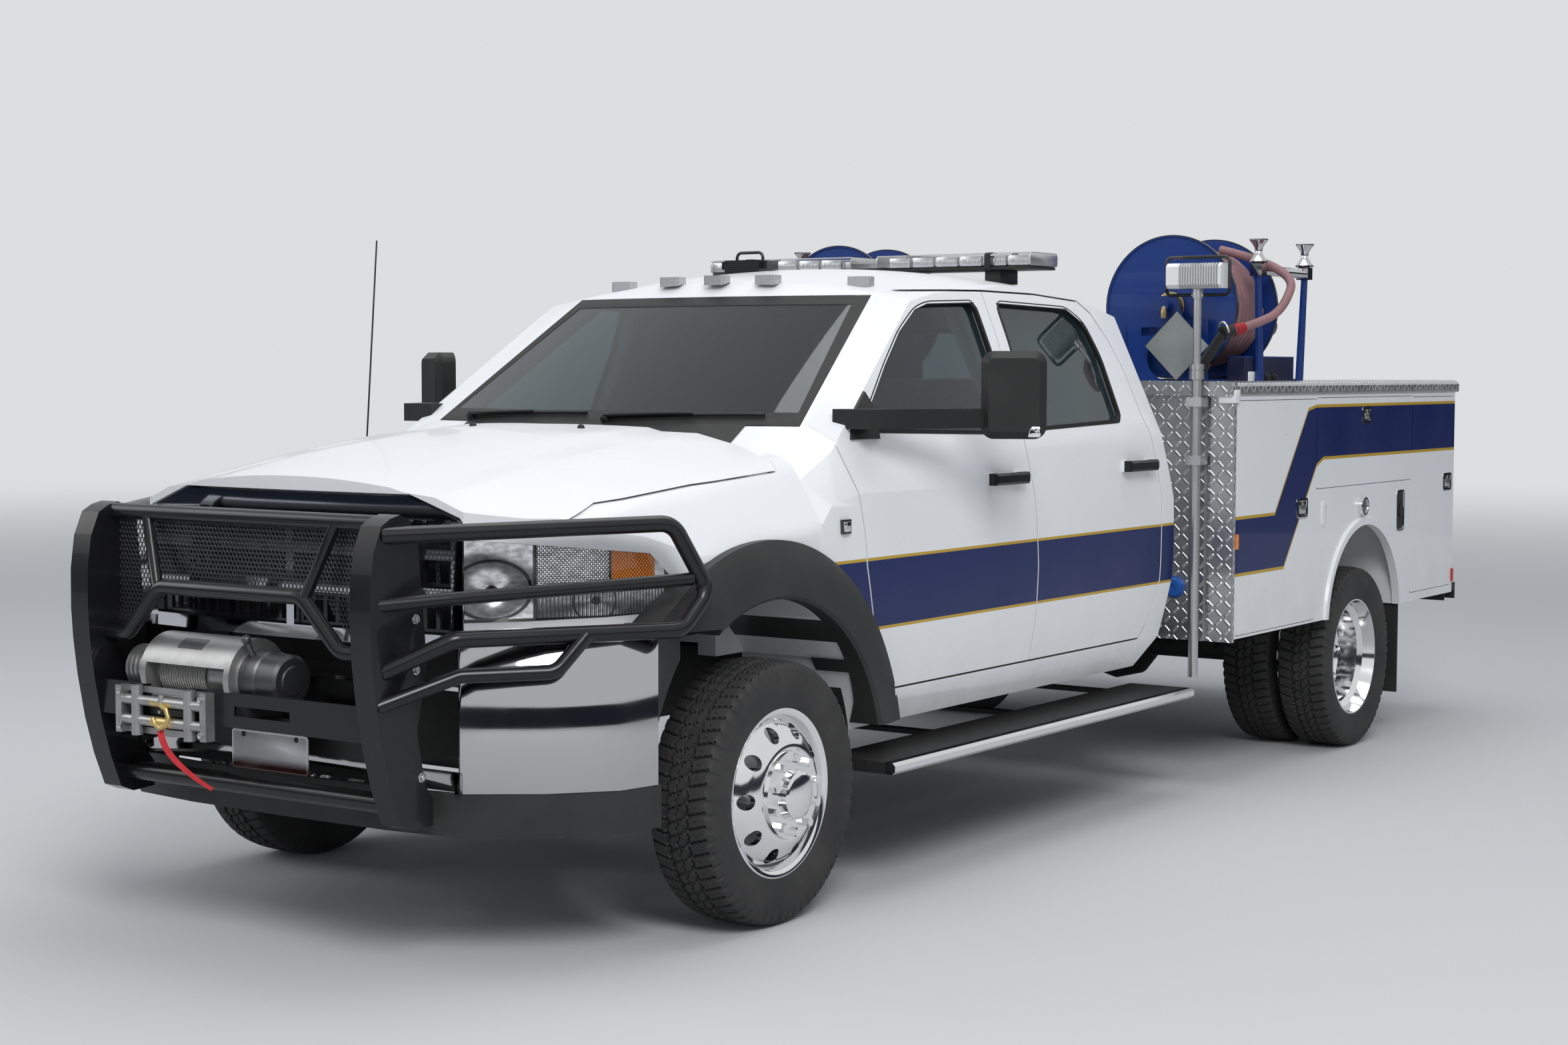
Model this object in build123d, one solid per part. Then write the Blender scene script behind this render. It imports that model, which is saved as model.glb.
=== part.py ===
from build123d import *
import math
import os

# A crew-cab brush truck: pickup cab, grille guard with winch, service body, two hose reels and
# a light mast. Millimetres. X is the truck's left, Y runs back from the front axle and Z is up
# from the ground. The finished pieces are moved so that the origin is under the middle.

# Overall sizes and the running gear
WHEELBASE = 4404
TYRE_RADIUS = 404
TYRE_WIDTH = 225
BEAD_RADIUS = 250
RIM_FLANGE_RADIUS = 262
RIM_HALF_WIDTH = 96
FRONT_WHEEL_X = 956
TWIN_CENTRE_X = 942
TWIN_SPACING = 262
KINGPIN_X = 790
GUARD_FRONT_Y = -1297
STEP_BUMPER_BACK_Y = 5799
ORIGIN_Y = (GUARD_FRONT_Y + STEP_BUMPER_BACK_Y) / 2

# Clearances
SEAT_GAP = 0.3
FIT_GAP = 0.05
DOOR_GAP = 7
LID_GAP = 6

# Frame
RAIL_OUTER_X = 432
RAIL_WIDTH = 70
RAIL_WALL = 8
RAIL_BOTTOM_Z = 560
RAIL_TOP_Z = 780
RAIL_FRONT_Y = -1040
RAIL_BACK_Y = 5560

# Cab
CAB_WALL = 110
DOOR_THICKNESS = 72
ROOF_WALL = 45
CAB_FLOOR_Z = 700
TUNNEL_HALF = 500
TUNNEL_TOP_Z = 850
FLOOR_HALF = 850
FLOOR_SHEET = 50
MOUNT_PUCK = 20
ROOF_TOP_Z = 2070
ROOF_LONG_RADIUS = 3700
ROOF_CROSS_RADIUS = 4100
ROOF_PEAK_Y = 1870
GLASS_THICKNESS = 6
FENDER_SKIN = 22
STEERING_LIMIT = 35

# Wheel arches
FRONT_ARCH_Y = -20
FRONT_ARCH_RADIUS = 587
FLARE_RADIUS = 768
ARCH_CUT_RADIUS = 597
ARCH_INNER_X = 590
REAR_ARCH_Y = 4437
REAR_ARCH_Z = 560
REAR_ARCH_RADIUS = 438

# Service body
BODY_HALF = 1190
BODY_FRONT_Y = 3009
BODY_BACK_Y = 5630
BODY_BOTTOM_Z = 606
BODY_TOP_Z = 1585
CABINET_INNER_X = 690
SHEET = 22
BED_FLOOR_Z = 905
LEDGE_TOP_Z = 1643
LID_THICKNESS = 22

# Guard tubes
TUBE_RADIUS = 24

# Wheels and hubs
WHEEL_STUDS = 10
HAND_HOLES = 10
FRONT_SPINDLE_RADIUS = 30
REAR_SPINDLE_RADIUS = 45
KINGPIN_RADIUS = 18
HUB_FIT = 0.3
STUD_CIRCLE = 112.5
DISC_OUT = 127
DISC_THICKNESS = 14
HUB_CAP_OUT = 170

# Axles and springs
FRONT_TUBE_RADIUS = 48
REAR_TUBE_RADIUS = 60
YOKE_INNER_X = 715
YOKE_BACK_X = 742
YOKE_OUTER_X = 830
YOKE_TOP_Z = 500
YOKE_BOTTOM_Z = 308
YOKE_EAR = 30
REAR_SPRING_X = 480
LEAF_WIDTH = 70
LEAF_THICKNESS = 12
LEAF_REACH = 650
COIL_X = 500
COIL_RADIUS = 58


def block(x0, x1, y0, y1, z0, z1):
    """A box between two opposite corners."""
    centre = Pos((x0 + x1) / 2, (y0 + y1) / 2, (z0 + z1) / 2)
    return centre * Box(x1 - x0, y1 - y0, z1 - z0)


def mirrored(shape):
    """The same piece on the truck's other side."""
    return mirror(shape, about=Plane.YZ)


def both_sides(shape):
    return shape + mirrored(shape)


def side_prism(points, x0, x1):
    """An outline of (y, z) points seen from the side, carried from x0 to x1."""
    return extrude(Plane.YZ.offset(x0) * Polygon(*points, align=None), x1 - x0, dir=(1, 0, 0))


def front_prism(points, y0, y1):
    """An outline of (x, z) points seen from the front, carried from y0 to y1."""
    return extrude(Plane.XZ.offset(-y0) * Polygon(*points, align=None), y1 - y0, dir=(0, 1, 0))


def plan_prism(points, z0, z1):
    """An outline of (x, y) points seen from above, carried from z0 to z1."""
    return extrude(Plane.XY.offset(z0) * Polygon(*points, align=None), z1 - z0, dir=(0, 0, 1))


def rounded_side_prism(points, radius, x0, x1):
    """A side outline with all its corners rounded, carried from x0 to x1."""
    outline = Polygon(*points, align=None)
    return extrude(Plane.YZ.offset(x0) * fillet(outline.vertices(), radius), x1 - x0, dir=(1, 0, 0))


def turned_x(points, y, z):
    """An outline of (x, radius) points turned about the line along X through (y, z)."""
    plane = Plane(origin=(0, y, z), x_dir=(1, 0, 0), z_dir=(0, -1, 0))
    return revolve(plane * Polygon(*points, align=None), Axis((0, y, z), (1, 0, 0)))


def turned_y(points, x, z):
    """An outline of (y, radius) points turned about the line along Y through (x, z)."""
    plane = Plane(origin=(x, 0, z), x_dir=(0, 1, 0), z_dir=(1, 0, 0))
    return revolve(plane * Polygon(*points, align=None), Axis((x, 0, z), (0, 1, 0)))


def turned_z(points, x, y):
    """An outline of (radius, z) points turned about the upright line through (x, y)."""
    plane = Plane(origin=(x, y, 0), x_dir=(1, 0, 0), z_dir=(0, -1, 0))
    return revolve(plane * Polygon(*points, align=None), Axis((x, y, 0), (0, 0, 1)))


def rod(start, end, radius):
    """A round bar between two points."""
    run = Vector(*end) - Vector(*start)
    return extrude(Plane(origin=start, z_dir=run) * Circle(radius), run.length)


def bent_tube(points, bend, radius):
    """A round tube along straight runs joined by bends."""
    path = FilletPolyline(*points, radius=bend)
    return sweep(Plane(origin=path @ 0, z_dir=path % 0) * Circle(radius), path=path)


# Cab body
CAB_FRONT_Y = 300
PILLAR_FRONT_Y = 470
CAB_HALF = 1003
BELT_Z = 1440
BELT_X = 982
SIDE_LEAN = 0.3742
FRONT_TOE_IN = 0.054
TOE_START_Y = 1300
SHOULDER_X = 785
SHOULDER_Z = 1955
GLASS_FOOT_Y = 418
GLASS_FOOT_Z = 1524
GLASS_SLOPE = 33
GLASS_CROSS_RADIUS = 4670
# Half of the section across the cab, as (x, z): sill, waist, belt and the lean up to the roof
CAB_SILL = (932, 520)
CAB_SILL_EDGE = (974, 620)
CAB_WAIST = (1003, 1030)
# The cab seen from the side behind the glass, as (y, z)
CAB_SIDE = [(CAB_FRONT_Y, 760), (480, 760), (480, 520), (2640, 520), (2775, 640), (2850, 860), (2850, 1180),
            (2765, 1440), (2650, 2100), (CAB_FRONT_Y, 2100)]


def beyond(point, normal, inset):
    """All that lies outside a plane, or outside the same plane moved in by the inset."""
    plane = Plane(origin=point, z_dir=normal)
    return plane * Pos(0, 0, 2500 - inset) * Box(8000, 8000, 5000)


def cab_section(side):
    """The outline across the cab, at (x, z)."""
    top_x = BELT_X - SIDE_LEAN * (2100 - BELT_Z)
    right = [(CAB_SILL[0] - side, 520), (CAB_SILL_EDGE[0] - side, 620), (CAB_WAIST[0] - side, 1030),
             (BELT_X - side, BELT_Z), (top_x - side / math.cos(math.atan(SIDE_LEAN)), 2100)]
    left = [(-x, z) for x, z in right]
    edges = [
        Line(left[0], right[0]),
        Line(right[0], right[1]),
        ThreePointArc(right[1], right[2], right[3]),
        Line(right[3], right[4]),
        Line(right[4], left[4]),
        Line(left[4], left[3]),
        ThreePointArc(left[3], left[2], left[1]),
        Line(left[1], left[0]),
    ]
    return make_face(edges)


def above_roof(wall):
    """All that lies above the crowned roof, or above its lining for a wall over 0."""
    top = ROOF_TOP_Z - wall
    half = 1200
    drop = ROOF_CROSS_RADIUS - math.sqrt(ROOF_CROSS_RADIUS ** 2 - half ** 2)
    low_left = (half, ROOF_PEAK_Y, top - drop)
    low_right = (-half, ROOF_PEAK_Y, top - drop)
    arc = ThreePointArc(low_right, (0, ROOF_PEAK_Y, top), low_left)
    lid = Polyline(low_left, (half, ROOF_PEAK_Y, top + 330), (-half, ROOF_PEAK_Y, top + 330), low_right)
    axis = Axis((0, ROOF_PEAK_Y, top - ROOF_LONG_RADIUS), (1, 0, 0))
    return revolve(make_face([arc, lid]), axis, 50).rotate(axis, -25)


def inside_glass(inset):
    """The space behind the curved windscreen's surface."""
    slope = math.radians(GLASS_SLOPE)
    reach = GLASS_CROSS_RADIUS
    middle = (0, GLASS_FOOT_Y + reach * math.sin(slope), GLASS_FOOT_Z - reach * math.cos(slope))
    run = Plane(origin=middle, z_dir=(0, math.cos(slope), math.sin(slope)))
    return run * Cylinder(reach - inset, 16000)


def cab_form(side, roof, front, back):
    """The cab's outer form, or for walls over 0 the space inside it."""
    y0 = CAB_FRONT_Y + front
    y1 = 2850
    form = extrude(Plane.XZ.offset(-y0) * cab_section(side), y1 - y0, dir=(0, 1, 0))
    form &= side_prism([(y - back if y > 2000 else y, z) for y, z in CAB_SIDE], -1100, 1100)
    form &= inside_glass(front)
    form -= above_roof(roof)
    toe = beyond((BELT_X, TOE_START_Y, BELT_Z), (1, -FRONT_TOE_IN, SIDE_LEAN), side)
    shoulder = beyond((SHOULDER_X, TOE_START_Y, SHOULDER_Z), (1, -FRONT_TOE_IN, 1.0), side)
    return form - both_sides(toe + shoulder)


# Side openings, as (y, z) points from the front lower corner round
FRONT_DOOR = [(690, 640), (690, 720), (612, 880), (566, 1053), (553, 1161), (527, 1280), (480, 1440),
              (513, 1492), (583, 1587), (705, 1695), (891, 1829), (1081, 1946), (1244, 1959), (1664, 1968),
              (1674, 1800), (1632, 1448), (1694, 1219), (1716, 977), (1716, 800), (1696, 640)]
REAR_DOOR = [(1703, 640), (1723, 800), (1723, 977), (1701, 1219), (1639, 1448), (1681, 1800), (1671, 1968),
             (2062, 1966), (2400, 1948), (2480, 1905), (2560, 1800), (2610, 1690), (2640, 1500), (2668, 1440),
             (2735, 1200), (2735, 860), (2650, 700), (2590, 640)]
FRONT_WINDOW = [(655, 1490), (735, 1570), (887, 1700), (1035, 1815), (1171, 1893), (1260, 1916),
                (1590, 1928), (1600, 1745), (1572, 1466)]
REAR_WINDOW = [(1718, 1475), (1758, 1775), (1752, 1930), (2290, 1920), (2397, 1866), (2448, 1738), (2455, 1494)]

# The doors' skins end this far from the middle, and the front door's tip ahead of the windscreen's foot
DOOR_DEEP_X = 810
FRONT_DOOR_TIP_Y = 520

# Windscreen and back window, as (x, z)
SCREEN = [(-780, 1500), (780, 1500), (645, 1945), (-645, 1945)]
BACK_WINDOW = [(-690, 1490), (690, 1490), (590, 1860), (-590, 1860)]
PANE_LAP = 12
FLANK_DEPTH = 120
# Facets beside the cowl, each through a low point, a point along its edge and a point further back
COWL_FACETS = [((1000, 300, 1200), (880, 300, 1400), (975, 520, 1440)),
               ((880, 300, 1400), (560, 300, 1485), (869, 418, 1524))]
SCREEN_LAP = 25
HANDLE_LENGTH = 250
HANDLE_HALF = 21
HANDLE_OUT_X = 1040
# Door handles, as (front end y, middle z)
HANDLES = {"front_left": (1345, 1305), "rear_left": (2395, 1318)}


def grown(points, amount):
    """The outline moved out by an amount, or in for an amount below 0."""
    return offset(Polygon(*points, align=None), amount, kind=Kind.INTERSECTION)


def grown_points(points, amount):
    """The same outline as a list of points, each moved in or out along both directions."""
    middle_x = sum(p[0] for p in points) / len(points)
    middle_z = sum(p[1] for p in points) / len(points)
    return [(x + (amount if x > middle_x else -amount), z + (amount if z > middle_z else -amount))
            for x, z in points]


def side_cut(points, amount, x0=560, x1=1150):
    return extrude(Plane.YZ.offset(x0) * grown(points, amount), x1 - x0, dir=(1, 0, 0))


def make_handle(y, z):
    """A pull handle on the door's skin: two feet and the bar between them."""
    grip = block(BELT_X - 20, HANDLE_OUT_X, y, y + HANDLE_LENGTH, z - HANDLE_HALF, z + HANDLE_HALF)
    grip = chamfer(grip.edges().filter_by(Axis.Y), 9)
    grip = chamfer(grip.faces().sort_by(Axis.X)[-1].edges().filter_by(Axis.Z), 12)
    grip -= block(BELT_X - 60, HANDLE_OUT_X - 14, y + 48, y + HANDLE_LENGTH - 48, z - 40, z + 40)
    return grip - cab_form(DOOR_THICKNESS / 2, 0, 0, 0)


def make_cab():
    """The hollow cab with its openings, two left doors and their panes."""
    outer = cab_form(0, 0, 0, 0)
    space = cab_form(CAB_WALL, ROOF_WALL, 90, 70) & block(-1100, 1100, 200, 2900, CAB_FLOOR_Z, 2200)
    space -= block(-TUNNEL_HALF, TUNNEL_HALF, 200, 2900, CAB_FLOOR_Z - 1, TUNNEL_TOP_Z)
    shell = outer - space
    for low, edge, back in COWL_FACETS:
        facet = Plane(origin=low, x_dir=Vector(*edge) - Vector(*low),
                      z_dir=(Vector(*edge) - Vector(*low)).cross(Vector(*back) - Vector(*low)))
        if facet.z_dir.X < 0:
            facet = -facet
        cut = facet * Pos(0, 0, 400) * Box(3000, 3000, 800)
        cut &= block(600, 1300, CAB_FRONT_Y - 20, 530, 1150, 1620)
        shell -= cut
        shell -= mirrored(cut)
    shell -= block(-TUNNEL_HALF - 20, TUNNEL_HALF + 20, 200, 2900, 400, RAIL_TOP_Z + MOUNT_PUCK)
    shell -= block(-FLOOR_HALF, FLOOR_HALF, 200, 2700, 400, CAB_FLOOR_Z - FLOOR_SHEET)
    wheelhouse = Pos(0, FRONT_ARCH_Y, TYRE_RADIUS) * Rot(0, 90, 0) * Cylinder(ARCH_CUT_RADIUS + FENDER_SKIN, 2400)
    shell += outer & wheelhouse & both_sides(block(ARCH_INNER_X - FENDER_SKIN, 1100, 380, 700, 500, 900))
    side_room = block(ARCH_INNER_X, 1200, -800, 800, 300, 1200)
    arch = Pos(0, FRONT_ARCH_Y, TYRE_RADIUS) * Rot(0, 90, 0) * Cylinder(ARCH_CUT_RADIUS, 2400)
    shell -= arch & side_room
    shell -= arch & mirrored(side_room)
    bracket = block(HOOD_HINGE_X - 8, HOOD_HINGE_X + 8, HOOD_HINGE_Y - 13, CAB_FRONT_Y + 1, HOOD_HINGE_Z - 15,
                    HOOD_HINGE_Z + 13)
    bracket -= rod((HOOD_HINGE_X - 20, HOOD_HINGE_Y, HOOD_HINGE_Z), (HOOD_HINGE_X + 20, HOOD_HINGE_Y, HOOD_HINGE_Z),
                   HINGE_PIN_RADIUS + HINGE_FIT)
    shell += bracket
    shell += mirrored(bracket)
    lining = cab_form(DOOR_THICKNESS, ROOF_WALL - 5, 50, 40)
    wall_band = outer - lining
    pocket = outer - cab_form(DOOR_THICKNESS + 5, ROOF_WALL, 50, 40)
    flank = beyond((BELT_X, TOE_START_Y, BELT_Z), (1, -FRONT_TOE_IN, SIDE_LEAN), FLANK_DEPTH)
    flank += block(DOOR_DEEP_X, 1200, 300, 3000, 400, BELT_Z + 5)
    flank -= block(0, DOOR_DEEP_X, 300, FRONT_DOOR_TIP_Y, 400, BELT_Z + 60)
    door_band = wall_band & flank
    pocket = pocket & flank
    pane_out = cab_form(20, 0, 0, 0)
    pane_in = cab_form(20 + GLASS_THICKNESS, 0, 0, 0)
    pane_band = pane_out - pane_in
    seal_band = (lining - cab_form(DOOR_THICKNESS + 5 - SEAT_GAP, ROOF_WALL, 50, 40)) & flank
    doors = {}
    glass = {}
    for name, door, window in (("front_left", FRONT_DOOR, FRONT_WINDOW),
                               ("rear_left", REAR_DOOR, REAR_WINDOW)):
        panel = door_band & side_cut(door, 0)
        seal = seal_band & side_cut(door, -8)
        seal -= side_cut(door, -20)
        pane = pane_band & side_cut(window, PANE_LAP)
        panel -= side_cut(window, 0)
        panel -= pane_band & side_cut(window, PANE_LAP + FIT_GAP)
        doors[name] = panel + seal + make_handle(*HANDLES[name])
        glass[name] = pane
        recess = pocket & side_cut(door, DOOR_GAP)
        shell -= recess
        shell -= mirrored(recess)
        through = side_cut(door, -28) & flank
        through += side_cut(door, -2) & block(780, 905, 470, 560, 1395, 1460)
        shell -= through
        shell -= mirrored(through)
    screen_skin = cab_form(0, 0, 0, 0) - cab_form(0, 0, GLASS_THICKNESS, 0)
    screen_lower = [(x, z) for x, z in SCREEN]
    screen = screen_skin & front_prism(screen_lower, 300, 1500)
    shell -= front_prism(grown_points(SCREEN, -SCREEN_LAP), 200, 1500)
    shell -= screen_skin & front_prism(grown_points(SCREEN, FIT_GAP), 300, 1500)
    back = front_prism(BACK_WINDOW, 2500, 2900)
    back_edge = front_prism(grown_points(BACK_WINDOW, -SCREEN_LAP), 2400, 2950)
    rear_skin = cab_form(0, 0, 0, 0) - cab_form(0, 0, 0, GLASS_THICKNESS)
    rear_pane = rear_skin & back
    shell -= back_edge
    shell -= rear_skin & front_prism(grown_points(BACK_WINDOW, FIT_GAP), 2500, 2900)
    return shell, doors, glass, screen + rear_pane


# The frame's crossmembers, as (y, bottom z, top z)
CROSSMEMBERS = [(-1000, 570, 700), (-620, 560, 620), (1250, 680, 770), (2050, 620, 740), (3150, 600, 740),
                (3980, 620, 760), (4840, 620, 760), (5480, 600, 740)]


def make_frame():
    """Two channel rails with their crossmembers, mounts, spring hangers and towers."""
    inner = RAIL_OUTER_X - RAIL_WIDTH
    rail = block(inner, RAIL_OUTER_X, RAIL_FRONT_Y, RAIL_BACK_Y, RAIL_BOTTOM_Z, RAIL_TOP_Z)
    rail -= block(inner - 1, RAIL_OUTER_X - RAIL_WALL, RAIL_FRONT_Y - 1, RAIL_BACK_Y + 1,
                  RAIL_BOTTOM_Z + RAIL_WALL, RAIL_TOP_Z - RAIL_WALL)
    for y in MOUNT_ROWS:
        puck = Pos(RAIL_OUTER_X - RAIL_WIDTH / 2, y, RAIL_TOP_Z + MOUNT_PUCK / 2 - SEAT_GAP / 2)
        rail += puck * Cylinder(32, MOUNT_PUCK - SEAT_GAP)
    hanger_x0 = RAIL_OUTER_X
    hanger_x1 = REAR_SPRING_X + LEAF_WIDTH / 2 + 12
    for y in (WHEELBASE - LEAF_REACH, WHEELBASE + LEAF_REACH):
        plate = side_prism([(y - 70, RAIL_TOP_Z - 40), (y + 70, RAIL_TOP_Z - 40), (y + 36, HANGER_Z - 34),
                            (y - 36, HANGER_Z - 34)], hanger_x0 - 1, hanger_x1)
        rail += plate - block(hanger_x0 + 2, hanger_x1 - 12, y - 90, y + 90, HANGER_Z - 90, HANGER_Z + 60)
    tower = block(RAIL_OUTER_X - 1, COIL_X + COIL_RADIUS + 8, -60, 60, COIL_TOP_Z, COIL_TOP_Z + 12)
    tower += side_prism([(-70, COIL_TOP_Z), (-48, COIL_TOP_Z + 90), (48, COIL_TOP_Z + 90), (70, COIL_TOP_Z)],
                        RAIL_OUTER_X - 1, RAIL_OUTER_X + 14)
    arm_hanger = block(RAIL_OUTER_X - 1, RAIL_OUTER_X + 60, ARM_PIVOT_Y - 45, ARM_PIVOT_Y + 45,
                       ARM_PIVOT_Z - 40, RAIL_BOTTOM_Z + 90)
    arm_hanger -= block(RAIL_OUTER_X + 10, RAIL_OUTER_X + 50, ARM_PIVOT_Y - 60, ARM_PIVOT_Y + 60,
                        ARM_PIVOT_Z - 60, ARM_PIVOT_Z + 60)
    frame = both_sides(rail + tower + arm_hanger)
    reach = RAIL_OUTER_X - RAIL_WALL + 1
    for y, z0, z1 in CROSSMEMBERS:
        beam = block(-reach, reach, y - 35, y + 35, z0, z1)
        frame += beam - block(-reach + 40, reach - 40, y - 27, y + 36, z0 + 8, z1 - 8)
    return frame


MOUNT_ROWS = (650, 1600, 2500)
HANGER_Z = 560
COIL_TOP_Z = 700
COIL_FOOT_Z = 468
ARM_PIVOT_Y = 980
ARM_PIVOT_Z = 500
RADIUS_ARM_X = RAIL_OUTER_X + 30


def make_front_axle():
    """A beam axle with its differential, forked ends, coil springs' seats and radius arms."""
    z = TYRE_RADIUS
    axle = rod((-YOKE_INNER_X - 5, 0, z), (YOKE_INNER_X + 5, 0, z), FRONT_TUBE_RADIUS)
    axle += turned_x([(DIFF_X - 130, 0), (DIFF_X - 130, 60), (DIFF_X - 70, 120), (DIFF_X, 140),
                      (DIFF_X + 70, 120), (DIFF_X + 130, 60), (DIFF_X + 130, 0)], 0, z)
    axle += rod((DIFF_X, 100, z + 10), (DIFF_X, 210, z + 20), 55)
    yoke = block(YOKE_INNER_X, YOKE_BACK_X, -55, 55, YOKE_BOTTOM_Z, YOKE_TOP_Z)
    ear = block(YOKE_INNER_X, KINGPIN_X, -42, 42, YOKE_TOP_Z - YOKE_EAR, YOKE_TOP_Z)
    ear += Pos(KINGPIN_X, 0, YOKE_TOP_Z - YOKE_EAR / 2) * Cylinder(42, YOKE_EAR)
    ear += Pos(0, 0, YOKE_BOTTOM_Z + YOKE_EAR - YOKE_TOP_Z) * ear
    yoke += ear - Pos(KINGPIN_X, 0, 400) * Cylinder(KINGPIN_RADIUS + FIT_GAP, 400)
    yoke += block(COIL_X - 62, COIL_X + 62, -60, 60, z + 20, COIL_FOOT_Z)
    arm = rod((RADIUS_ARM_X, 0, z + 20), (RADIUS_ARM_X, ARM_PIVOT_Y, ARM_PIVOT_Z), 19)
    arm += rod((RAIL_OUTER_X + 10.3, ARM_PIVOT_Y, ARM_PIVOT_Z), (RAIL_OUTER_X + 49.7, ARM_PIVOT_Y, ARM_PIVOT_Z), 30)
    return axle + both_sides(yoke + arm)


DIFF_X = 190


def make_front_springs():
    """The two front coils, each a stack of turns closed into one sleeve."""
    height = COIL_TOP_Z - COIL_FOOT_Z - 2 * SEAT_GAP
    pitch = height / COIL_TURNS
    points = [(COIL_RADIUS - 30, COIL_FOOT_Z + SEAT_GAP)]
    for turn in range(COIL_TURNS):
        low = COIL_FOOT_Z + SEAT_GAP + turn * pitch
        points.append((COIL_RADIUS - 6, low))
        points.append((COIL_RADIUS, low + pitch / 2))
    points.append((COIL_RADIUS - 6, COIL_FOOT_Z + SEAT_GAP + height))
    points.append((COIL_RADIUS - 30, COIL_FOOT_Z + SEAT_GAP + height))
    return both_sides(turned_z(points, COIL_X, 0))


COIL_TURNS = 6


def make_rear_axle():
    """The driving axle with its differential and the spindles of the twin wheels."""
    z = TYRE_RADIUS
    tube_end = TWIN_CENTRE_X - 42
    axle = rod((-SPRING_SEAT_X, WHEELBASE, z), (SPRING_SEAT_X, WHEELBASE, z), REAR_TUBE_RADIUS)
    axle += rod((-tube_end, WHEELBASE, z), (tube_end, WHEELBASE, z), REAR_SPINDLE_RADIUS)
    axle += turned_x([(-190, 0), (-190, 70), (-120, 150), (0, 180), (120, 150), (190, 70), (190, 0)], WHEELBASE, z)
    axle += rod((0, WHEELBASE - 120, z), (0, WHEELBASE - 300, z + 10), 62)
    seat = block(REAR_SPRING_X - 42, REAR_SPRING_X + 42, WHEELBASE - 70, WHEELBASE + 70, z, PACK_BOTTOM_Z)
    return axle + both_sides(seat)


SPRING_SEAT_X = 700
PACK_BOTTOM_Z = 472
LEAVES = [(650, 0), (520, 1), (400, 2), (280, 3)]


def make_leaf_springs():
    """The rear leaf packs, longest leaf on top, eyes held in the frame's hangers."""
    x0 = REAR_SPRING_X - LEAF_WIDTH / 2
    x1 = REAR_SPRING_X + LEAF_WIDTH / 2
    count = len(LEAVES)
    top = PACK_BOTTOM_Z + SEAT_GAP + count * LEAF_THICKNESS
    pack = None
    for reach, place in LEAVES:
        z1 = top - place * LEAF_THICKNESS
        z0 = z1 - LEAF_THICKNESS
        rise = (HANGER_Z - top + 6) * (reach / LEAF_REACH) ** 2
        points = [(WHEELBASE - reach, z0 + rise), (WHEELBASE - reach * 0.55, z0 + rise * 0.3), (WHEELBASE - 80, z0),
                  (WHEELBASE + 80, z0), (WHEELBASE + reach * 0.55, z0 + rise * 0.3), (WHEELBASE + reach, z0 + rise),
                  (WHEELBASE + reach, z1 + rise), (WHEELBASE + reach * 0.55, z1 + rise * 0.3), (WHEELBASE + 80, z1),
                  (WHEELBASE - 80, z1), (WHEELBASE - reach * 0.55, z1 + rise * 0.3), (WHEELBASE - reach, z1 + rise)]
        leaf = side_prism(points, x0, x1)
        pack = leaf if pack is None else pack + leaf
    for y in (WHEELBASE - LEAF_REACH, WHEELBASE + LEAF_REACH):
        pack += rod((x0, y, HANGER_Z), (x1 - SEAT_GAP, y, HANGER_Z), 22)
    pack += block(x0 - 8, x1 + 8, WHEELBASE - 45, WHEELBASE + 45, top, top + 18)
    return both_sides(pack)


def make_knuckle():
    """The left steering knuckle: kingpin, body, spindle, brake disc and steering arm."""
    z = TYRE_RADIUS
    low = YOKE_BOTTOM_Z + YOKE_EAR + SEAT_GAP
    high = YOKE_TOP_Z - YOKE_EAR - SEAT_GAP
    body = Pos(KINGPIN_X, 0, (low + high) / 2) * Cylinder(38, high - low)
    pin = Pos(KINGPIN_X, 0, (YOKE_BOTTOM_Z + YOKE_TOP_Z) / 2) * Cylinder(KINGPIN_RADIUS, YOKE_TOP_Z - YOKE_BOTTOM_Z)
    spindle = rod((KINGPIN_X, 0, z), (SPINDLE_END_X, 0, z), FRONT_SPINDLE_RADIUS)
    flange = rod((KINGPIN_X + 20, 0, z), (KINGPIN_X + 50, 0, z), 50)
    arm = plan_prism([(KINGPIN_X + 2, 10), (KINGPIN_X + 37, 10), (KINGPIN_X + 35, 185), (KINGPIN_X + 2, 185)],
                     low + 8, low + 36)
    caliper = side_prism([(-150, z + 20), (-70, z + 60), (-60, z + 150), (-120, z + 130), (-170, z + 60)],
                         KINGPIN_X + 20, KINGPIN_X + 58)
    bracket = rod((KINGPIN_X + 35, 0, z), (KINGPIN_X + 35, -105, z + 80), 16)
    return body + pin + spindle + flange + arm + caliper + bracket


SPINDLE_END_X = 1015


def rim_barrel(disc_sign):
    """Half section of a steel rim about x = 0, its disc standing to one side, as (x, radius)."""
    w = RIM_HALF_WIDTH
    flange = RIM_FLANGE_RADIUS
    bead = BEAD_RADIUS
    outer = [(-w, flange), (-w + 10, flange), (-w + 12, bead), (-48, bead - 2), (-30, bead - 26),
             (34, bead - 26), (52, bead - 2), (w - 12, bead), (w - 10, flange), (w, flange)]
    inner = [(w, flange - 10), (w - 8, bead - 12), (64, bead - 14)]
    disc = [(78, 222), (104, 196), (DISC_OUT - 6, 164), (DISC_OUT, 148), (DISC_OUT, 30),
            (DISC_OUT - DISC_THICKNESS, 30), (DISC_OUT - DISC_THICKNESS, 148), (DISC_OUT - 20, 160),
            (90, 186), (62, 210), (44, 212)]
    back = [(-26, 212), (-44, bead - 14), (-w, flange - 10)]
    return [(disc_sign * x, r) for x, r in outer + inner + disc + back]


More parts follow.
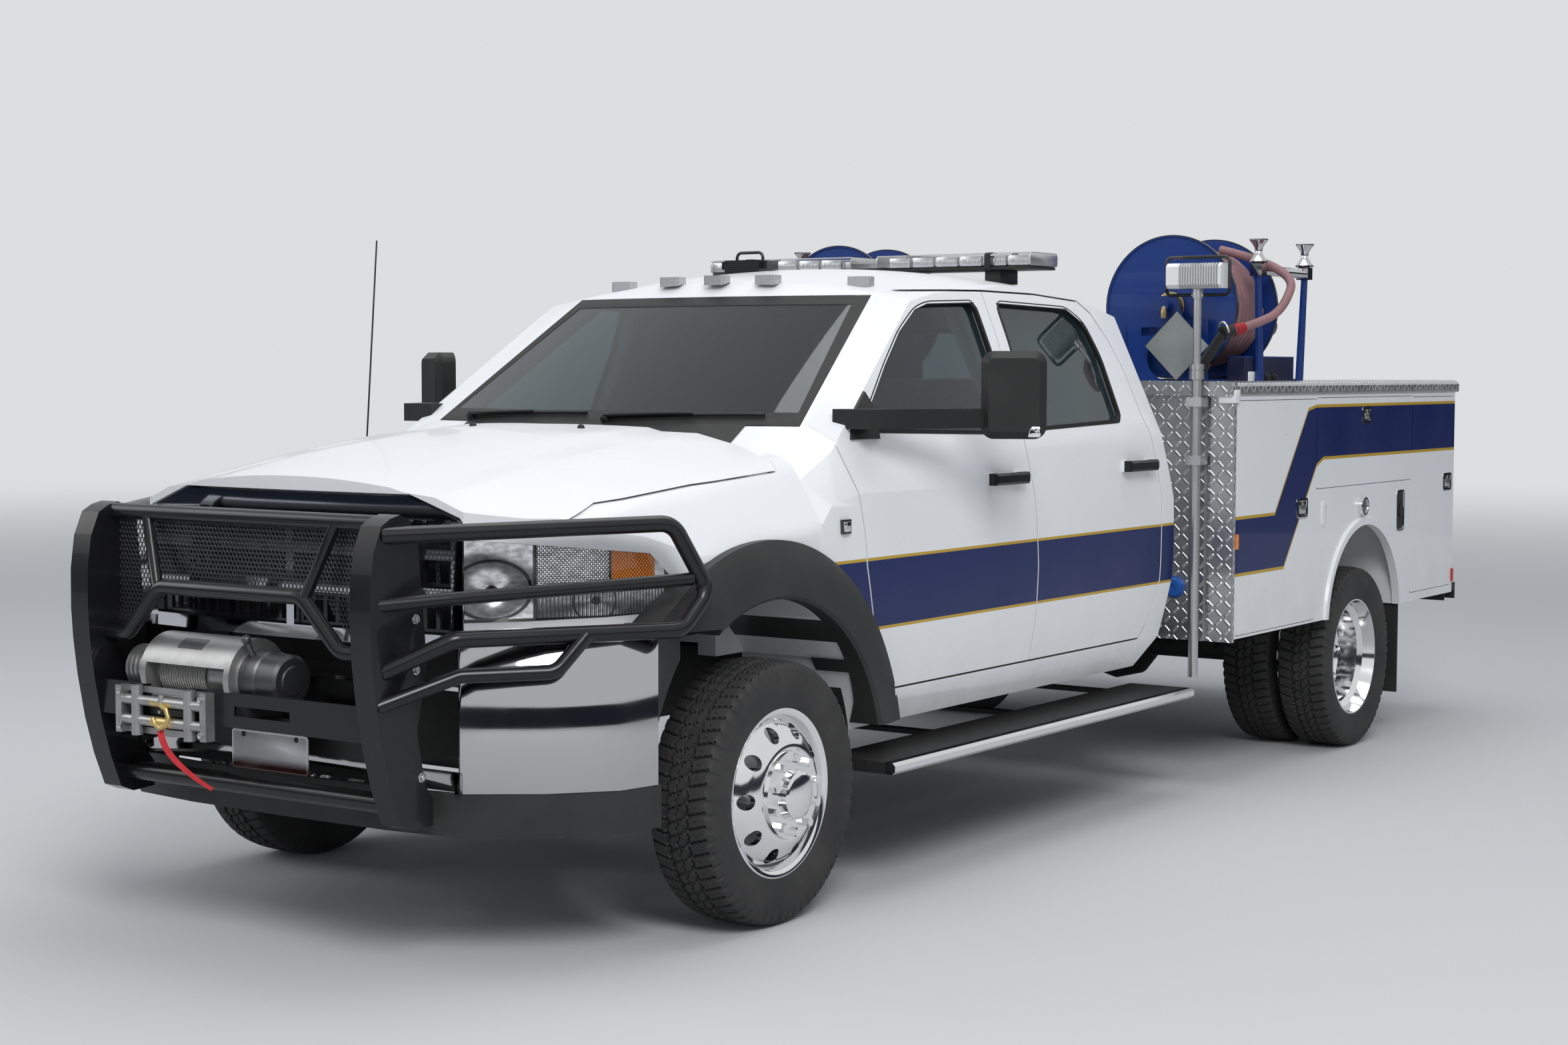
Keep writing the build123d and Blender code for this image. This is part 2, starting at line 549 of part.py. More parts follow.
def make_rim(disc_sign, hub):
    """One steel wheel about x = 0 with hand holes, fused with the hub given."""
    wheel = turned_x(rim_barrel(disc_sign), 0, 0)
    for k in range(HAND_HOLES):
        turn = Rot(360 / HAND_HOLES * (k + 0.5), 0, 0)
        wheel -= turn * Pos(disc_sign * 100, 0, 192) * Rot(0, 90, 0) * Cylinder(24, 90)
    return wheel + hub


def stud_ring(x0, x1, radius):
    """The wheel nuts, six-sided, round the line along X."""
    ring = None
    for k in range(WHEEL_STUDS):
        nut = Rot(360 / WHEEL_STUDS * k, 0, 0) * Pos((x0 + x1) / 2, 0, STUD_CIRCLE) * Rot(0, 90, 0)
        nut = nut * extrude(RegularPolygon(radius, 6), (x1 - x0) / 2, both=True)
        ring = nut if ring is None else ring + nut
    return ring


def make_front_rim():
    """Left front wheel: the rim dished outwards, hub, ring, nuts and cap."""
    bore = FRONT_SPINDLE_RADIUS + HUB_FIT
    end = SPINDLE_END_X - FRONT_WHEEL_X + 2
    hub = turned_x([(-60, bore), (-60, 62), (20, 70), (DISC_OUT - DISC_THICKNESS - 1, 70),
                    (DISC_OUT - DISC_THICKNESS - 1, 138), (DISC_OUT, 138), (DISC_OUT + 12, 134),
                    (DISC_OUT + 12, 78), (HUB_CAP_OUT - 6, 72), (HUB_CAP_OUT, 62), (HUB_CAP_OUT, 0),
                    (end, 0), (end, bore)], 0, 0)
    hub += stud_ring(DISC_OUT + 11, DISC_OUT + 34, 15)
    return Pos(FRONT_WHEEL_X, 0, TYRE_RADIUS) * make_rim(1, hub)


def make_rear_rims():
    """Left twin wheels back to back on one hub."""
    bore = REAR_SPINDLE_RADIUS + HUB_FIT
    outer_x = TWIN_CENTRE_X + TWIN_SPACING / 2
    inner_x = TWIN_CENTRE_X - TWIN_SPACING / 2
    end = TWIN_CENTRE_X - 42 + 2
    face = outer_x - DISC_OUT
    hub = turned_x([(TWIN_CENTRE_X - 180, bore), (TWIN_CENTRE_X - 180, 78), (TWIN_CENTRE_X - 40, 84),
                    (inner_x + DISC_OUT - DISC_THICKNESS - 1, 84), (inner_x + DISC_OUT - DISC_THICKNESS - 1, 144),
                    (face + DISC_THICKNESS + 10, 144), (face + DISC_THICKNESS + 12, 70), (HUB_FACE_X - 8, 66),
                    (HUB_FACE_X, 58), (HUB_FACE_X, 0), (end, 0), (end, bore)], 0, 0)
    nuts = stud_ring(face + DISC_THICKNESS + 9, face + DISC_THICKNESS + 34, 15)
    wheel = Pos(inner_x, 0, 0) * turned_x(rim_barrel(1), 0, 0) + hub
    wheel += Pos(outer_x, 0, 0) * make_rim(-1, Pos(-outer_x, 0, 0) * nuts)
    return Pos(0, WHEELBASE, TYRE_RADIUS) * wheel


HUB_FACE_X = 1060


def make_tyre(centre_x, centre_y):
    """A tyre with four ribs, filled by its rim."""
    half = TYRE_WIDTH / 2
    bead = BEAD_RADIUS + SEAT_GAP
    seat = RIM_HALF_WIDTH - 12 - SEAT_GAP
    edge = half - 20
    side = [(-seat, bead), (-seat, RIM_FLANGE_RADIUS + 4), (-half + 10, RIM_FLANGE_RADIUS + 22),
            (-half, TYRE_RADIUS - 78), (-half + 6, TYRE_RADIUS - 26), (-edge, TYRE_RADIUS - 3)]
    tread = [(-GROOVE_X - GROOVE_HALF, TYRE_RADIUS), (-GROOVE_X, TYRE_RADIUS - GROOVE_DEPTH),
             (-GROOVE_X + GROOVE_HALF, TYRE_RADIUS)]
    left = side + tread
    right = [(-x, r) for x, r in reversed(left)]
    tyre = turned_x(left + right, 0, 0)
    return Pos(centre_x, centre_y, TYRE_RADIUS) * tyre


GROOVE_X = 34
GROOVE_HALF = 7
GROOVE_DEPTH = 12


def make_powertrain():
    """The engine as one block, with its gearbox, shafts, exhaust and transfer case."""
    engine = block(-300, 300, ENGINE_FRONT_Y, ENGINE_BACK_Y, ENGINE_BOTTOM_Z, ENGINE_TOP_Z)
    engine = chamfer(engine.edges().filter_by(Axis.Y), 60)
    reach = RAIL_OUTER_X - RAIL_WIDTH - SEAT_GAP
    engine += block(-reach, reach, -300, -200, RAIL_TOP_Z - 40, RAIL_TOP_Z)
    box = turned_y([(ENGINE_BACK_Y - 5, 0), (ENGINE_BACK_Y - 5, 190), (ENGINE_BACK_Y + 80, 150),
                    (GEARBOX_BACK_Y - 100, 105), (GEARBOX_BACK_Y, 80), (GEARBOX_BACK_Y, 0)], 0, SHAFT_FRONT_Z)
    engine += box & block(-200, 200, 0, 2000, 400, RAIL_TOP_Z + MOUNT_PUCK - 6)
    shaft = rod((0, GEARBOX_BACK_Y - 5, SHAFT_FRONT_Z), (0, WHEELBASE - 300 - PINION_ROOM, TYRE_RADIUS + 10), 45)
    pipe = bent_tube([(-230, ENGINE_BACK_Y - 20, 640), (-230, 900, 520), (-300, 1500, 500), (-300, 3000, 500)],
                     120, 35)
    muffler = rod((-290, 1700, 475), (-290, 2450, 475), 84)
    return engine + shaft + pipe + muffler


ENGINE_FRONT_Y = -600
ENGINE_BACK_Y = 180
ENGINE_BOTTOM_Z = 630
ENGINE_TOP_Z = 1180
GEARBOX_BACK_Y = 1150
SHAFT_FRONT_Z = 620
PINION_ROOM = 3.5
RADIATOR_Y = -860
RADIATOR_THICKNESS = 60


def make_engine_bay():
    """The radiator on its support and the inner fender walls over the front wheels."""
    support = block(-560, 560, RADIATOR_Y, RADIATOR_Y + RADIATOR_THICKNESS, RAIL_TOP_Z + SEAT_GAP, 1240)
    support -= block(-410, 410, RADIATOR_Y - 1, RADIATOR_Y + 12, 820, 1190)
    wall = block(INNER_FENDER_X - 8, INNER_FENDER_X, RADIATOR_Y + RADIATOR_THICKNESS - 20,
                 CAB_FRONT_Y - SEAT_GAP, TYRE_TOP_ROOM_Z, 1255)
    shelf = block(INNER_FENDER_X - 8, INNER_FENDER_X + 60, RADIATOR_Y + RADIATOR_THICKNESS - 20,
                  CAB_FRONT_Y - SEAT_GAP, 1247, 1255)
    foot = block(RAIL_OUTER_X - 40, INNER_FENDER_X, -640, -560, RAIL_TOP_Z + SEAT_GAP, RAIL_TOP_Z + 12)
    foot += block(INNER_FENDER_X - 8, INNER_FENDER_X, -640, -560, RAIL_TOP_Z + SEAT_GAP, TYRE_TOP_ROOM_Z + 10)
    return support + both_sides(wall + shelf + foot)


INNER_FENDER_X = 585
TYRE_TOP_ROOM_Z = 840


def make_fuel_tank():
    """The tank between the rails behind the axle, with its two straps."""
    tank = block(-330, 330, TANK_FRONT_Y, TANK_BACK_Y, 470, RAIL_BOTTOM_Z + 200)
    tank = fillet(tank.edges().filter_by(Axis.X), 60)
    for y in (TANK_FRONT_Y + 140, TANK_BACK_Y - 140):
        strap = block(-RAIL_OUTER_X + RAIL_WIDTH - 2 * SEAT_GAP + 2, RAIL_OUTER_X - RAIL_WIDTH + 2 * SEAT_GAP - 2,
                      y - 20, y + 20, 464, 471)
        for side in (-1, 1):
            x = side * (RAIL_OUTER_X - RAIL_WIDTH - SEAT_GAP - 4)
            strap += block(x - 4, x + 4, y - 20, y + 20, 464, RAIL_BOTTOM_Z + 60)
        tank += strap
    return tank


TANK_FRONT_Y = 4890
TANK_BACK_Y = 5420

# Sections across the front clip, one row for each distance back:
# y, middle z, crown x, crown z, shoulder x, shoulder z, side x, side z
CLIP_ROWS = [(300, 1500, 560, 1485, 880, 1400, 1000, 1200), (-100, 1478, 560, 1458, 890, 1352, 1003, 1150),
             (-500, 1435, 550, 1408, 870, 1300, 988, 1090), (-1000, 1360, 540, 1320, 800, 1213, 935, 1040)]
NOSE_PLAN = [(1060, 420), (1060, -200), (1003, -250), (880, -640), (760, -830), (640, -962), (330, -990), (0, -1000)]
HOOD_LINE = [(-1100, 1205), (-775, 1249), (-591, 1303), (-207, 1343), (206, 1371), (300, 1480)]
HOOD_BACK_Y = 285
HOOD_BACK_MIDDLE_Y = 150
CLIP_BOTTOM_Z = 560
HOOD_HINGE_Y = 275
HOOD_HINGE_Z = 1395
HOOD_HINGE_X = 700
HINGE_PIN_RADIUS = 6
HINGE_FIT = 0.3
HOOD_ARM_RISE = 36
HOOD_CORNER_X = 800
DOME_FOOT_X = 432
DOME_TOP_X = 384
DOME_RISE = 13
DOME_SHARE = 0.35
SIDE_ROUND = 110
SHOULDER_ROUND = 130


def clip_section(row, inset):
    """One closed outline of the front clip, across the truck."""
    y, z_mid, x_crown, z_crown, x_shoulder, z_shoulder, x_side, z_side = row
    x_crown -= inset * 0.2
    z_crown -= inset
    x_shoulder -= inset * 0.5
    z_shoulder -= inset * 0.9
    x_side -= inset
    z_mid -= inset
    plane = Plane.XZ.offset(-y)
    z_foot = z_crown + (z_mid - z_crown) * DOME_SHARE
    points = [(-x_side, CLIP_BOTTOM_Z), (-x_side, z_side), (-x_shoulder, z_shoulder), (-x_crown, z_crown),
              (-DOME_FOOT_X, z_foot), (-DOME_TOP_X, z_foot + DOME_RISE)]
    right = [(-x, z) for x, z in reversed(points)]
    edges = [Line(a, b) for a, b in zip(points, points[1:])]
    edges.append(ThreePointArc(points[-1], (0, z_mid + DOME_RISE), right[0]))
    edges += [Line(a, b) for a, b in zip(right, right[1:])]
    edges.append(Line(right[-1], points[0]))
    face = make_face(edges)
    for x, z, radius in ((x_side, z_side, SIDE_ROUND), (x_shoulder, z_shoulder, SHOULDER_ROUND)):
        corners = [v for v in face.vertices() if abs(abs(v.X) - x) < 0.5 and abs(v.Y - z) < 0.5]
        face = fillet(corners, radius)
    return plane * face


def clip_form(inset):
    """The solid inside the front clip's skin."""
    form = loft([clip_section(row, inset) for row in CLIP_ROWS], ruled=True)
    plan = [(x - inset if x > 200 else x, y + inset if y < 200 else y) for x, y in NOSE_PLAN]
    outline = plan + [(-x, y) for x, y in reversed(plan[:-1])]
    return form & plan_prism(outline, 400, 1700)


def make_clip():
    """Hood and fender shells cut from one skin, with the openings in its nose."""
    outer = clip_form(0)
    skin = outer - clip_form(FENDER_SKIN)
    above = HOOD_LINE + [(400, 1800), (-1300, 1800)]
    hood_room = side_prism(above, -1100, 1100)
    back = [(-1100, HOOD_BACK_Y), (-700, HOOD_BACK_Y - 20), (0, HOOD_BACK_MIDDLE_Y), (700, HOOD_BACK_Y - 20),
            (1100, HOOD_BACK_Y), (1100, -1200), (-1100, -1200)]
    hood = skin & hood_room & plan_prism(back, 1000, 1800)
    lower = [(y, z - LID_GAP) for y, z in HOOD_LINE] + [(300, 300), (-1200, 300), (-1200, 1199)]
    fenders = skin & side_prism(lower, -1100, 1100)
    fenders -= Pos(0, FRONT_ARCH_Y, TYRE_RADIUS) * Rot(0, 90, 0) * Cylinder(ARCH_CUT_RADIUS, 3000)
    fenders -= block(-1100, 1100, 150, 500, 300, 640)
    fenders -= front_prism(NOSE_OPENING, -1300, -300)
    fenders -= block(-HOOD_CORNER_X, HOOD_CORNER_X, 150, 400, 1000, 1700)
    hood -= front_prism(grown_points(NOSE_OPENING, LID_GAP), -1300, -850)
    fenders -= both_sides(side_prism(LAMP_SIDE, 640, 1100) & plan_prism(LAMP_PLAN, 800, 1400))
    fenders -= block(-1100, 1100, -1200, FRONT_ARCH_Y - 300, 300, BUMPER_TOP_Z + LID_GAP)
    for side in (-1, 1):
        x = side * HOOD_HINGE_X
        for place in (-18, 18):
            hood += block(x + place - 6, x + place + 6, HOOD_HINGE_Y - 45, HOOD_HINGE_Y + 12, HOOD_HINGE_Z - 12,
                          HOOD_HINGE_Z + HOOD_ARM_RISE)
        hood += rod((x - 22, HOOD_HINGE_Y, HOOD_HINGE_Z), (x + 22, HOOD_HINGE_Y, HOOD_HINGE_Z), HINGE_PIN_RADIUS)
    return hood, fenders, outer


BUMPER_TOP_Z = 925
NOSE_OPENING = [(-640, 900), (640, 900), (640, 1240), (622, 1264), (522, 1300), (448, 1326), (-448, 1326),
                (-522, 1300), (-622, 1264), (-640, 1240)]
LAMP_SIDE = [(-1100, 975), (-415, 985), (-415, 1085), (-488, 1157), (-1100, 1225)]
LAMP_PLAN = [(640, -1100), (1100, -1100), (1100, -415), (860, -415), (640, -700)]


LAMP_DEPTH = 60
NOSE_FRAME = 34


def make_headlights():
    """Solid lamp bodies that fill the openings in the nose's corners."""
    band = clip_form(0) - clip_form(LAMP_DEPTH)
    lamp_side = grown_points(LAMP_SIDE, -2 * SEAT_GAP)
    lamp_plan = grown_points(LAMP_PLAN, -2 * SEAT_GAP)
    lamp = band & side_prism(lamp_side, 640, 1100) & plan_prism(lamp_plan, 800, 1400)
    return both_sides(lamp)


def make_grille():
    """The grille's surround with two bars and a toothed row between."""
    band = clip_form(-4) - clip_form(50)
    opening = grown_points(NOSE_OPENING, -SEAT_GAP)
    grille = band & front_prism(opening, -1300, -900)
    for z0, z1 in GRILLE_ROWS:
        for x0, x1 in GRILLE_BAYS:
            grille -= block(x0, x1, -1300, -900, z0, z1)
    mesh = (clip_form(24) - clip_form(32)) & front_prism(opening, -1300, -900)
    for z0, z1 in GRILLE_ROWS:
        for k in range(GRILLE_SLOTS):
            x = -GRILLE_SLOT_PITCH * (GRILLE_SLOTS - 1) / 2 + k * GRILLE_SLOT_PITCH
            mesh -= block(x - 16, x + 16, -1300, -900, z0 + 12, z1 - 12)
    return grille + mesh


GRILLE_ROWS = [(940, 1040), (1070, 1150), (1180, 1270)]
GRILLE_BAYS = [(-600, -15), (15, 600)]
GRILLE_SLOTS = 25
GRILLE_SLOT_PITCH = 46

# The front bumper seen from above, from its end to its middle, as (x, y)
BUMPER_END_Y = -560
BUMPER_PLAN = [(1012, BUMPER_END_Y), (985, -700), (850, -862), (660, -1000), (400, -1030), (0, -1040)]
BUMPER_BOTTOM_Z = 505
BUMPER_WALL = 18
AIR_DAM_BOTTOM_Z = 380
BUMPER_OPENING_HALF = 652


def bumper_outline(inset, back):
    outer = [(x - inset * 0.8, y + inset * 0.8) for x, y in BUMPER_PLAN[:-1]] + [(0, BUMPER_PLAN[-1][1] + inset)]
    line = outer + [(-x, y) for x, y in reversed(outer[:-1])]
    return [(BUMPER_PLAN[0][0] - inset, back)] + line + [(-BUMPER_PLAN[0][0] + inset, back)]


def make_front_bumper():
    """The chrome bumper wrapped round the corners, open in its middle for the guard."""
    bumper = plan_prism(bumper_outline(0, BUMPER_END_Y + 0.01), BUMPER_BOTTOM_Z, BUMPER_TOP_Z)
    bumper -= plan_prism(bumper_outline(BUMPER_WALL, -300), BUMPER_BOTTOM_Z - 1, BUMPER_TOP_Z - BUMPER_WALL)
    bumper -= block(-BUMPER_OPENING_HALF, BUMPER_OPENING_HALF, -1100, -400, BUMPER_BOTTOM_Z - 1, BUMPER_TOP_Z + 1)
    shelf = plan_prism([(-660, -940), (660, -940), (660, -860), (-660, -860)], RAIL_TOP_Z + SEAT_GAP,
                       RAIL_TOP_Z + 12)
    shelf += both_sides(block(640, 700, -960, -860, RAIL_TOP_Z - 60, RAIL_TOP_Z + 12))
    low_top = RAIL_BOTTOM_Z - SEAT_GAP
    low = block(-664, 664, -985, -975, BUMPER_BOTTOM_Z, low_top)
    low += both_sides(block(645, 664, -1010, -975, BUMPER_BOTTOM_Z, low_top))
    return bumper + shelf + low


# The guard's uprights from the side, front edge from the top down and then the back edge, as (y, z)
UPRIGHT = [(-1151, 1276), (-1178, 1289), (-1216, 1280), (-1251, 1261), (-1282, 1191), (-1296, 1093),
           (GUARD_FRONT_Y, 977), (-1291, 887), (-1277, 777), (-1252, 647), (-1220, 534), (-1182, 436),
           (-1135, 416), (-1055, 421), (-1054, 495), (-1086, 537), (-1117, 689), (-1075, 868), (-1111, 1237)]
UPRIGHT_OUTER_X = 605
UPRIGHT_WIDTH = 75
UPRIGHT_WALL = 8
GUARD_TOP_Y = -1190
GUARD_TOP_Z = 1262
GUARD_BOTTOM_Y = -1140
GUARD_BOTTOM_Z = 482
HOOP = [(590, -1240, 1234), (1040, -530, 1250), (1100, -440, 1055), (1084, -544, 951), (733, -1104, 950),
        (590, -1236, 862)]
HOOP_MIDDLE = [(590, -1255, 1046), (700, -1090, 1058), (1072, -478, 1090)]
HOOP_BRANCH = [(590, -1258, 770), (715, -1066, 846), (897, -872, 851), (942, -792, 950)]
GUARD_LOW_TUBE = [(-590, -1215, 905), (-430, -1232, 905), (-290, -1236, 1052), (290, -1236, 1052),
                  (430, -1232, 905), (590, -1215, 905)]


def make_guard():
    """The grille guard: two channel uprights, cross tubes, corner hoops and the mesh."""
    x1 = UPRIGHT_OUTER_X
    x0 = UPRIGHT_OUTER_X - UPRIGHT_WIDTH
    upright = side_prism(UPRIGHT, x0, x1)
    hollow = [(y + UPRIGHT_WALL + 4, z) for y, z in UPRIGHT[1:13]] + [(-1020, 416), (-1000, 900), (-1020, 1290)]
    hollow = [(y, min(max(z, 440), 1262)) for y, z in hollow]
    upright -= side_prism(hollow, x0 + UPRIGHT_WALL, x1 - UPRIGHT_WALL)
    hoop = bent_tube(HOOP, 62, TUBE_RADIUS)
    middle = bent_tube(HOOP_MIDDLE, 120, TUBE_RADIUS - 5)
    branch = bent_tube(HOOP_BRANCH, 60, TUBE_RADIUS - 3)
    foot = side_prism([(-1110, 560), (-1040 - SEAT_GAP, 570), (-1040 - SEAT_GAP, 770), (-1090, 800)],
                      x0 - 8, x0 + 4)
    foot += block(RAIL_OUTER_X - 90, x0 + 2, -1052, -1040 - SEAT_GAP, 580, 760)
    guard = both_sides(upright + hoop + middle + branch + foot)
    guard += rod((-x0 - 4, GUARD_TOP_Y, GUARD_TOP_Z), (x0 + 4, GUARD_TOP_Y, GUARD_TOP_Z), TUBE_RADIUS)
    guard += rod((-x0 - 4, GUARD_BOTTOM_Y, GUARD_BOTTOM_Z), (x0 + 4, GUARD_BOTTOM_Y, GUARD_BOTTOM_Z), 27)
    guard += bent_tube(GUARD_LOW_TUBE, 60, TUBE_RADIUS - 2)
    guard += both_sides(rod((300, -1236, 1052), (385, -1195, GUARD_TOP_Z), TUBE_RADIUS - 7))
    return guard


def make_guard_mesh():
    """The perforated sheet behind the guard's tubes."""
    half = UPRIGHT_OUTER_X - UPRIGHT_WIDTH - SEAT_GAP
    sheet = front_prism([(-half, 910), (-450, 910), (-320, 1040), (320, 1040), (450, 910), (half, 910),
                         (half, 1237.7), (-half, 1237.7)], MESH_Y, MESH_Y + 3)
    return sheet


MESH_Y = -1176
WINCH_FRONT_Y = -1240
TRAY_BOTTOM_Z = 667
TRAY_TOP_Z = 767
TRAY_FRONT_Y = -1250
WINCH_LEFT_X = 165
WINCH_RIGHT_X = -476
WINCH_Y = -1150
WINCH_AXIS_RISE = 115
MOTOR_RIBS = 6
MOTOR_RIB_PITCH = 19
COVER_X0 = -345
COVER_X1 = 22
COVER_RADIUS = 114
COVER_WALL = 9
COVER_LIP_RISE = 34
END_PLATE = 22
DRUM_RADIUS = 66
TIE_BAR_Y = 74


def make_winch():
    """The winch: ribbed motor, drum under an arched cover between end plates, and the gear case."""
    floor = TRAY_BOTTOM_Z + 16 + SEAT_GAP
    z = floor + WINCH_AXIS_RISE
    y = WINCH_Y
    motor = [(WINCH_RIGHT_X, 0), (WINCH_RIGHT_X, 50), (WINCH_RIGHT_X + 10, 60)]
    for k in range(MOTOR_RIBS):
        x = WINCH_RIGHT_X + 14 + k * MOTOR_RIB_PITCH
        motor += [(x, 60), (x, 68), (x + MOTOR_RIB_PITCH / 2, 68), (x + MOTOR_RIB_PITCH / 2, 60)]
    motor += [(COVER_X0 + 1, 60), (COVER_X0 + 1, 0)]
    winch = turned_x(motor, y, z)
    winch += rod((COVER_X0, y, z), (COVER_X1, y, z), DRUM_RADIUS)
    cover = rod((COVER_X0, y, z), (COVER_X1, y, z), COVER_RADIUS)
    cover -= rod((COVER_X0 - 1, y, z), (COVER_X1 + 1, y, z), COVER_RADIUS - COVER_WALL)
    cover -= block(COVER_X0 - 1, COVER_X1 + 1, y - 200, y, z - 200, z + COVER_LIP_RISE)
    cover -= block(COVER_X0 - 1, COVER_X1 + 1, y - 1, y + 200, z - 200, floor + 30)
    for x in (COVER_X0, COVER_X1 - END_PLATE):
        plate = rod((x, y, z), (x + END_PLATE, y, z), COVER_RADIUS)
        plate += block(x, x + END_PLATE, y - 92, y + 92, floor, z)
        cover += plate - block(x - 1, x + END_PLATE + 1, y - 200, y + 200, z - 300, floor)
    gear = [(COVER_X1 - 1, 0), (COVER_X1 - 1, 84), (COVER_X1 + 62, 84), (COVER_X1 + 68, 78), (COVER_X1 + 132, 76),
            (COVER_X1 + 140, 66), (COVER_X1 + 140, 44), (WINCH_LEFT_X, 40), (WINCH_LEFT_X, 0)]
    winch += turned_x(gear, y, z)
    lever = rod((COVER_X1 + 30, y - 40, z + 60), (COVER_X1 + 24, y - 66, z + 118), 9)
    lever += Pos(COVER_X1 + 24, y - 66, z + 118) * Sphere(14)
    cover -= block(-600, 600, y - 200, TRAY_FRONT_Y + 10 + SEAT_GAP, z - 300, TRAY_TOP_Z + SEAT_GAP)
    cover -= block(-600, 600, -1052 - SEAT_GAP, y + 200, z - 300, TRAY_TOP_Z + SEAT_GAP)
    for dy in (-TIE_BAR_Y, TIE_BAR_Y):
        cover += rod((COVER_X0 + 2, y + dy, z - 70), (COVER_X1 - 2, y + dy, z - 70), 9)
    return winch + cover + lever


def make_winch_tray():
    """The winch's carrier between the guard's uprights, with its fairlead and hook."""
    half = UPRIGHT_OUTER_X - UPRIGHT_WIDTH - SEAT_GAP
    tray = block(-half, half, TRAY_FRONT_Y + 4, -1052 - SEAT_GAP, TRAY_BOTTOM_Z, TRAY_BOTTOM_Z + 16)
    tray += block(-half, half, TRAY_FRONT_Y, TRAY_FRONT_Y + 10, TRAY_BOTTOM_Z, TRAY_TOP_Z)
    tray -= block(-330, -150, TRAY_FRONT_Y - 5, TRAY_FRONT_Y + 20, TRAY_BOTTOM_Z + 30, TRAY_TOP_Z + 1)
    tray -= block(30, 250, TRAY_FRONT_Y - 5, TRAY_FRONT_Y + 20, TRAY_BOTTOM_Z + 34, TRAY_BOTTOM_Z + 62)
    front = TRAY_FRONT_Y - SEAT_GAP
    fairlead = block(-430, -50, front - 8, front, 622, 640) + block(-430, -50, front - 8, front, 742, 760)
    fairlead += block(-430, -405, front - 34, front, 622, 760) + block(-75, -50, front - 34, front, 622, 760)
    for x in (-350, -130):
        fairlead += rod((x, front - 22, 618), (x, front - 22, 764), 17)
    for z in (662, 720):
        fairlead += rod((-408, front - 20, z), (-72, front - 20, z), 15)
    return tray, fairlead


HOOK_X = -240
HOOK_Z = 680
HOOK_Y = -1283


def make_hook():
    """The winch hook hanging in front of the fairlead on the cable's eye."""
    arc = [(0, 34), (24, 24), (34, 0), (24, -24), (0, -34), (-24, -24), (-32, -6)]
    path = Polyline(*[(HOOK_X + x, HOOK_Y, HOOK_Z + z) for x, z in arc])
    hook = sweep(Plane(origin=path @ 0, z_dir=path % 0) * Circle(7), path=path, transition=Transition.ROUND)
    eye = rod((HOOK_X, HOOK_Y, HOOK_Z + 30), (HOOK_X, HOOK_Y + 6, HOOK_Z + 62), 9)
    return hook + eye


FLARE_PROFILE = [(860, FLARE_RADIUS), (1022, FLARE_RADIUS), (1040, 742), (1062, 640), (1062, 600), (1052, 590),
                 (860, 590)]
FLARE_PLAN = [(1100, 900), (1100, -280), (1062, -330), (1003, -570), (925, -700), (600, -760), (600, 900)]
FILLER_PLAN = [(985, -420), (1006, BUMPER_END_Y + SEAT_GAP), (930, BUMPER_END_Y + SEAT_GAP), (930, -420)]


# Room in front of the front doors' edges, which swing forward past the flares as they open
DOOR_SWING_ROOM = 18


def make_black_trim():
    """Wheel-arch flares with the panels below them, air dam, cowl and mudflaps."""
    room = clip_form(-SEAT_GAP) + cab_form(-SEAT_GAP, 0, 0, 0)
    flare = turned_x(FLARE_PROFILE, FRONT_ARCH_Y, TYRE_RADIUS)
    flare &= plan_prism(FLARE_PLAN, 0, 1300)
    flare -= block(0, 1200, -900, FRONT_ARCH_Y - 300, 0, BUMPER_TOP_Z + LID_GAP)
    flare -= block(0, 1200, -900, 900, -400, FLARE_END_Z)
    flare -= side_cut(FRONT_DOOR, DOOR_SWING_ROOM)
    flare -= room
    filler = plan_prism(FILLER_PLAN, BUMPER_BOTTOM_Z + 15, BUMPER_TOP_Z + LID_GAP - SEAT_GAP)
    filler -= Pos(0, FRONT_ARCH_Y, TYRE_RADIUS) * Rot(0, 90, 0) * Cylinder(ARCH_CUT_RADIUS, 3000)
    foot = block(870, 1003, -575, FRONT_ARCH_Y - 302, BUMPER_TOP_Z + SEAT_GAP, BUMPER_TOP_Z + LID_GAP + 30)
    foot &= plan_prism(FLARE_PLAN, 0, 1300)
    foot -= Pos(0, FRONT_ARCH_Y, TYRE_RADIUS) * Rot(0, 90, 0) * Cylinder(ARCH_CUT_RADIUS, 3000)
    foot -= clip_form(-SEAT_GAP)
    dam = plan_prism(bumper_outline(BUMPER_WALL - 14, BUMPER_END_Y + 20), AIR_DAM_BOTTOM_Z, BUMPER_BOTTOM_Z - SEAT_GAP)
    dam -= plan_prism(bumper_outline(BUMPER_WALL, -400), AIR_DAM_BOTTOM_Z - 1, BUMPER_BOTTOM_Z)
    flap = block(1076, 1186, MUDFLAP_Y, MUDFLAP_Y + 10, 190, BODY_BOTTOM_Z - SEAT_GAP)
    flap += block(720, 1186, MUDFLAP_Y, MUDFLAP_Y + 10, 400, BODY_BOTTOM_Z - SEAT_GAP)
    return both_sides(flare + filler + foot + flap) + dam


FLARE_END_Z = 545
MUDFLAP_Y = 4896


def make_running_boards():
    """Side steps below the doors on brackets from the frame."""
    board = front_prism([(850, 392), (1118, 392), (1128, 402), (1128, 420), (1118, 430), (850, 430)],
                        STEP_FRONT_Y, STEP_BACK_Y)
    board -= front_prism([(862, 380), (1108, 380), (1108, 420), (862, 420)], STEP_FRONT_Y + 10, STEP_BACK_Y - 10)
    for y in STEP_BRACKETS:
        board += block(RAIL_OUTER_X + SEAT_GAP, 1060, y - 25, y + 25, 408, 424)
        board += block(RAIL_OUTER_X + SEAT_GAP, RAIL_OUTER_X + 10, y - 25, y + 25, 408, 640)
    return both_sides(board)


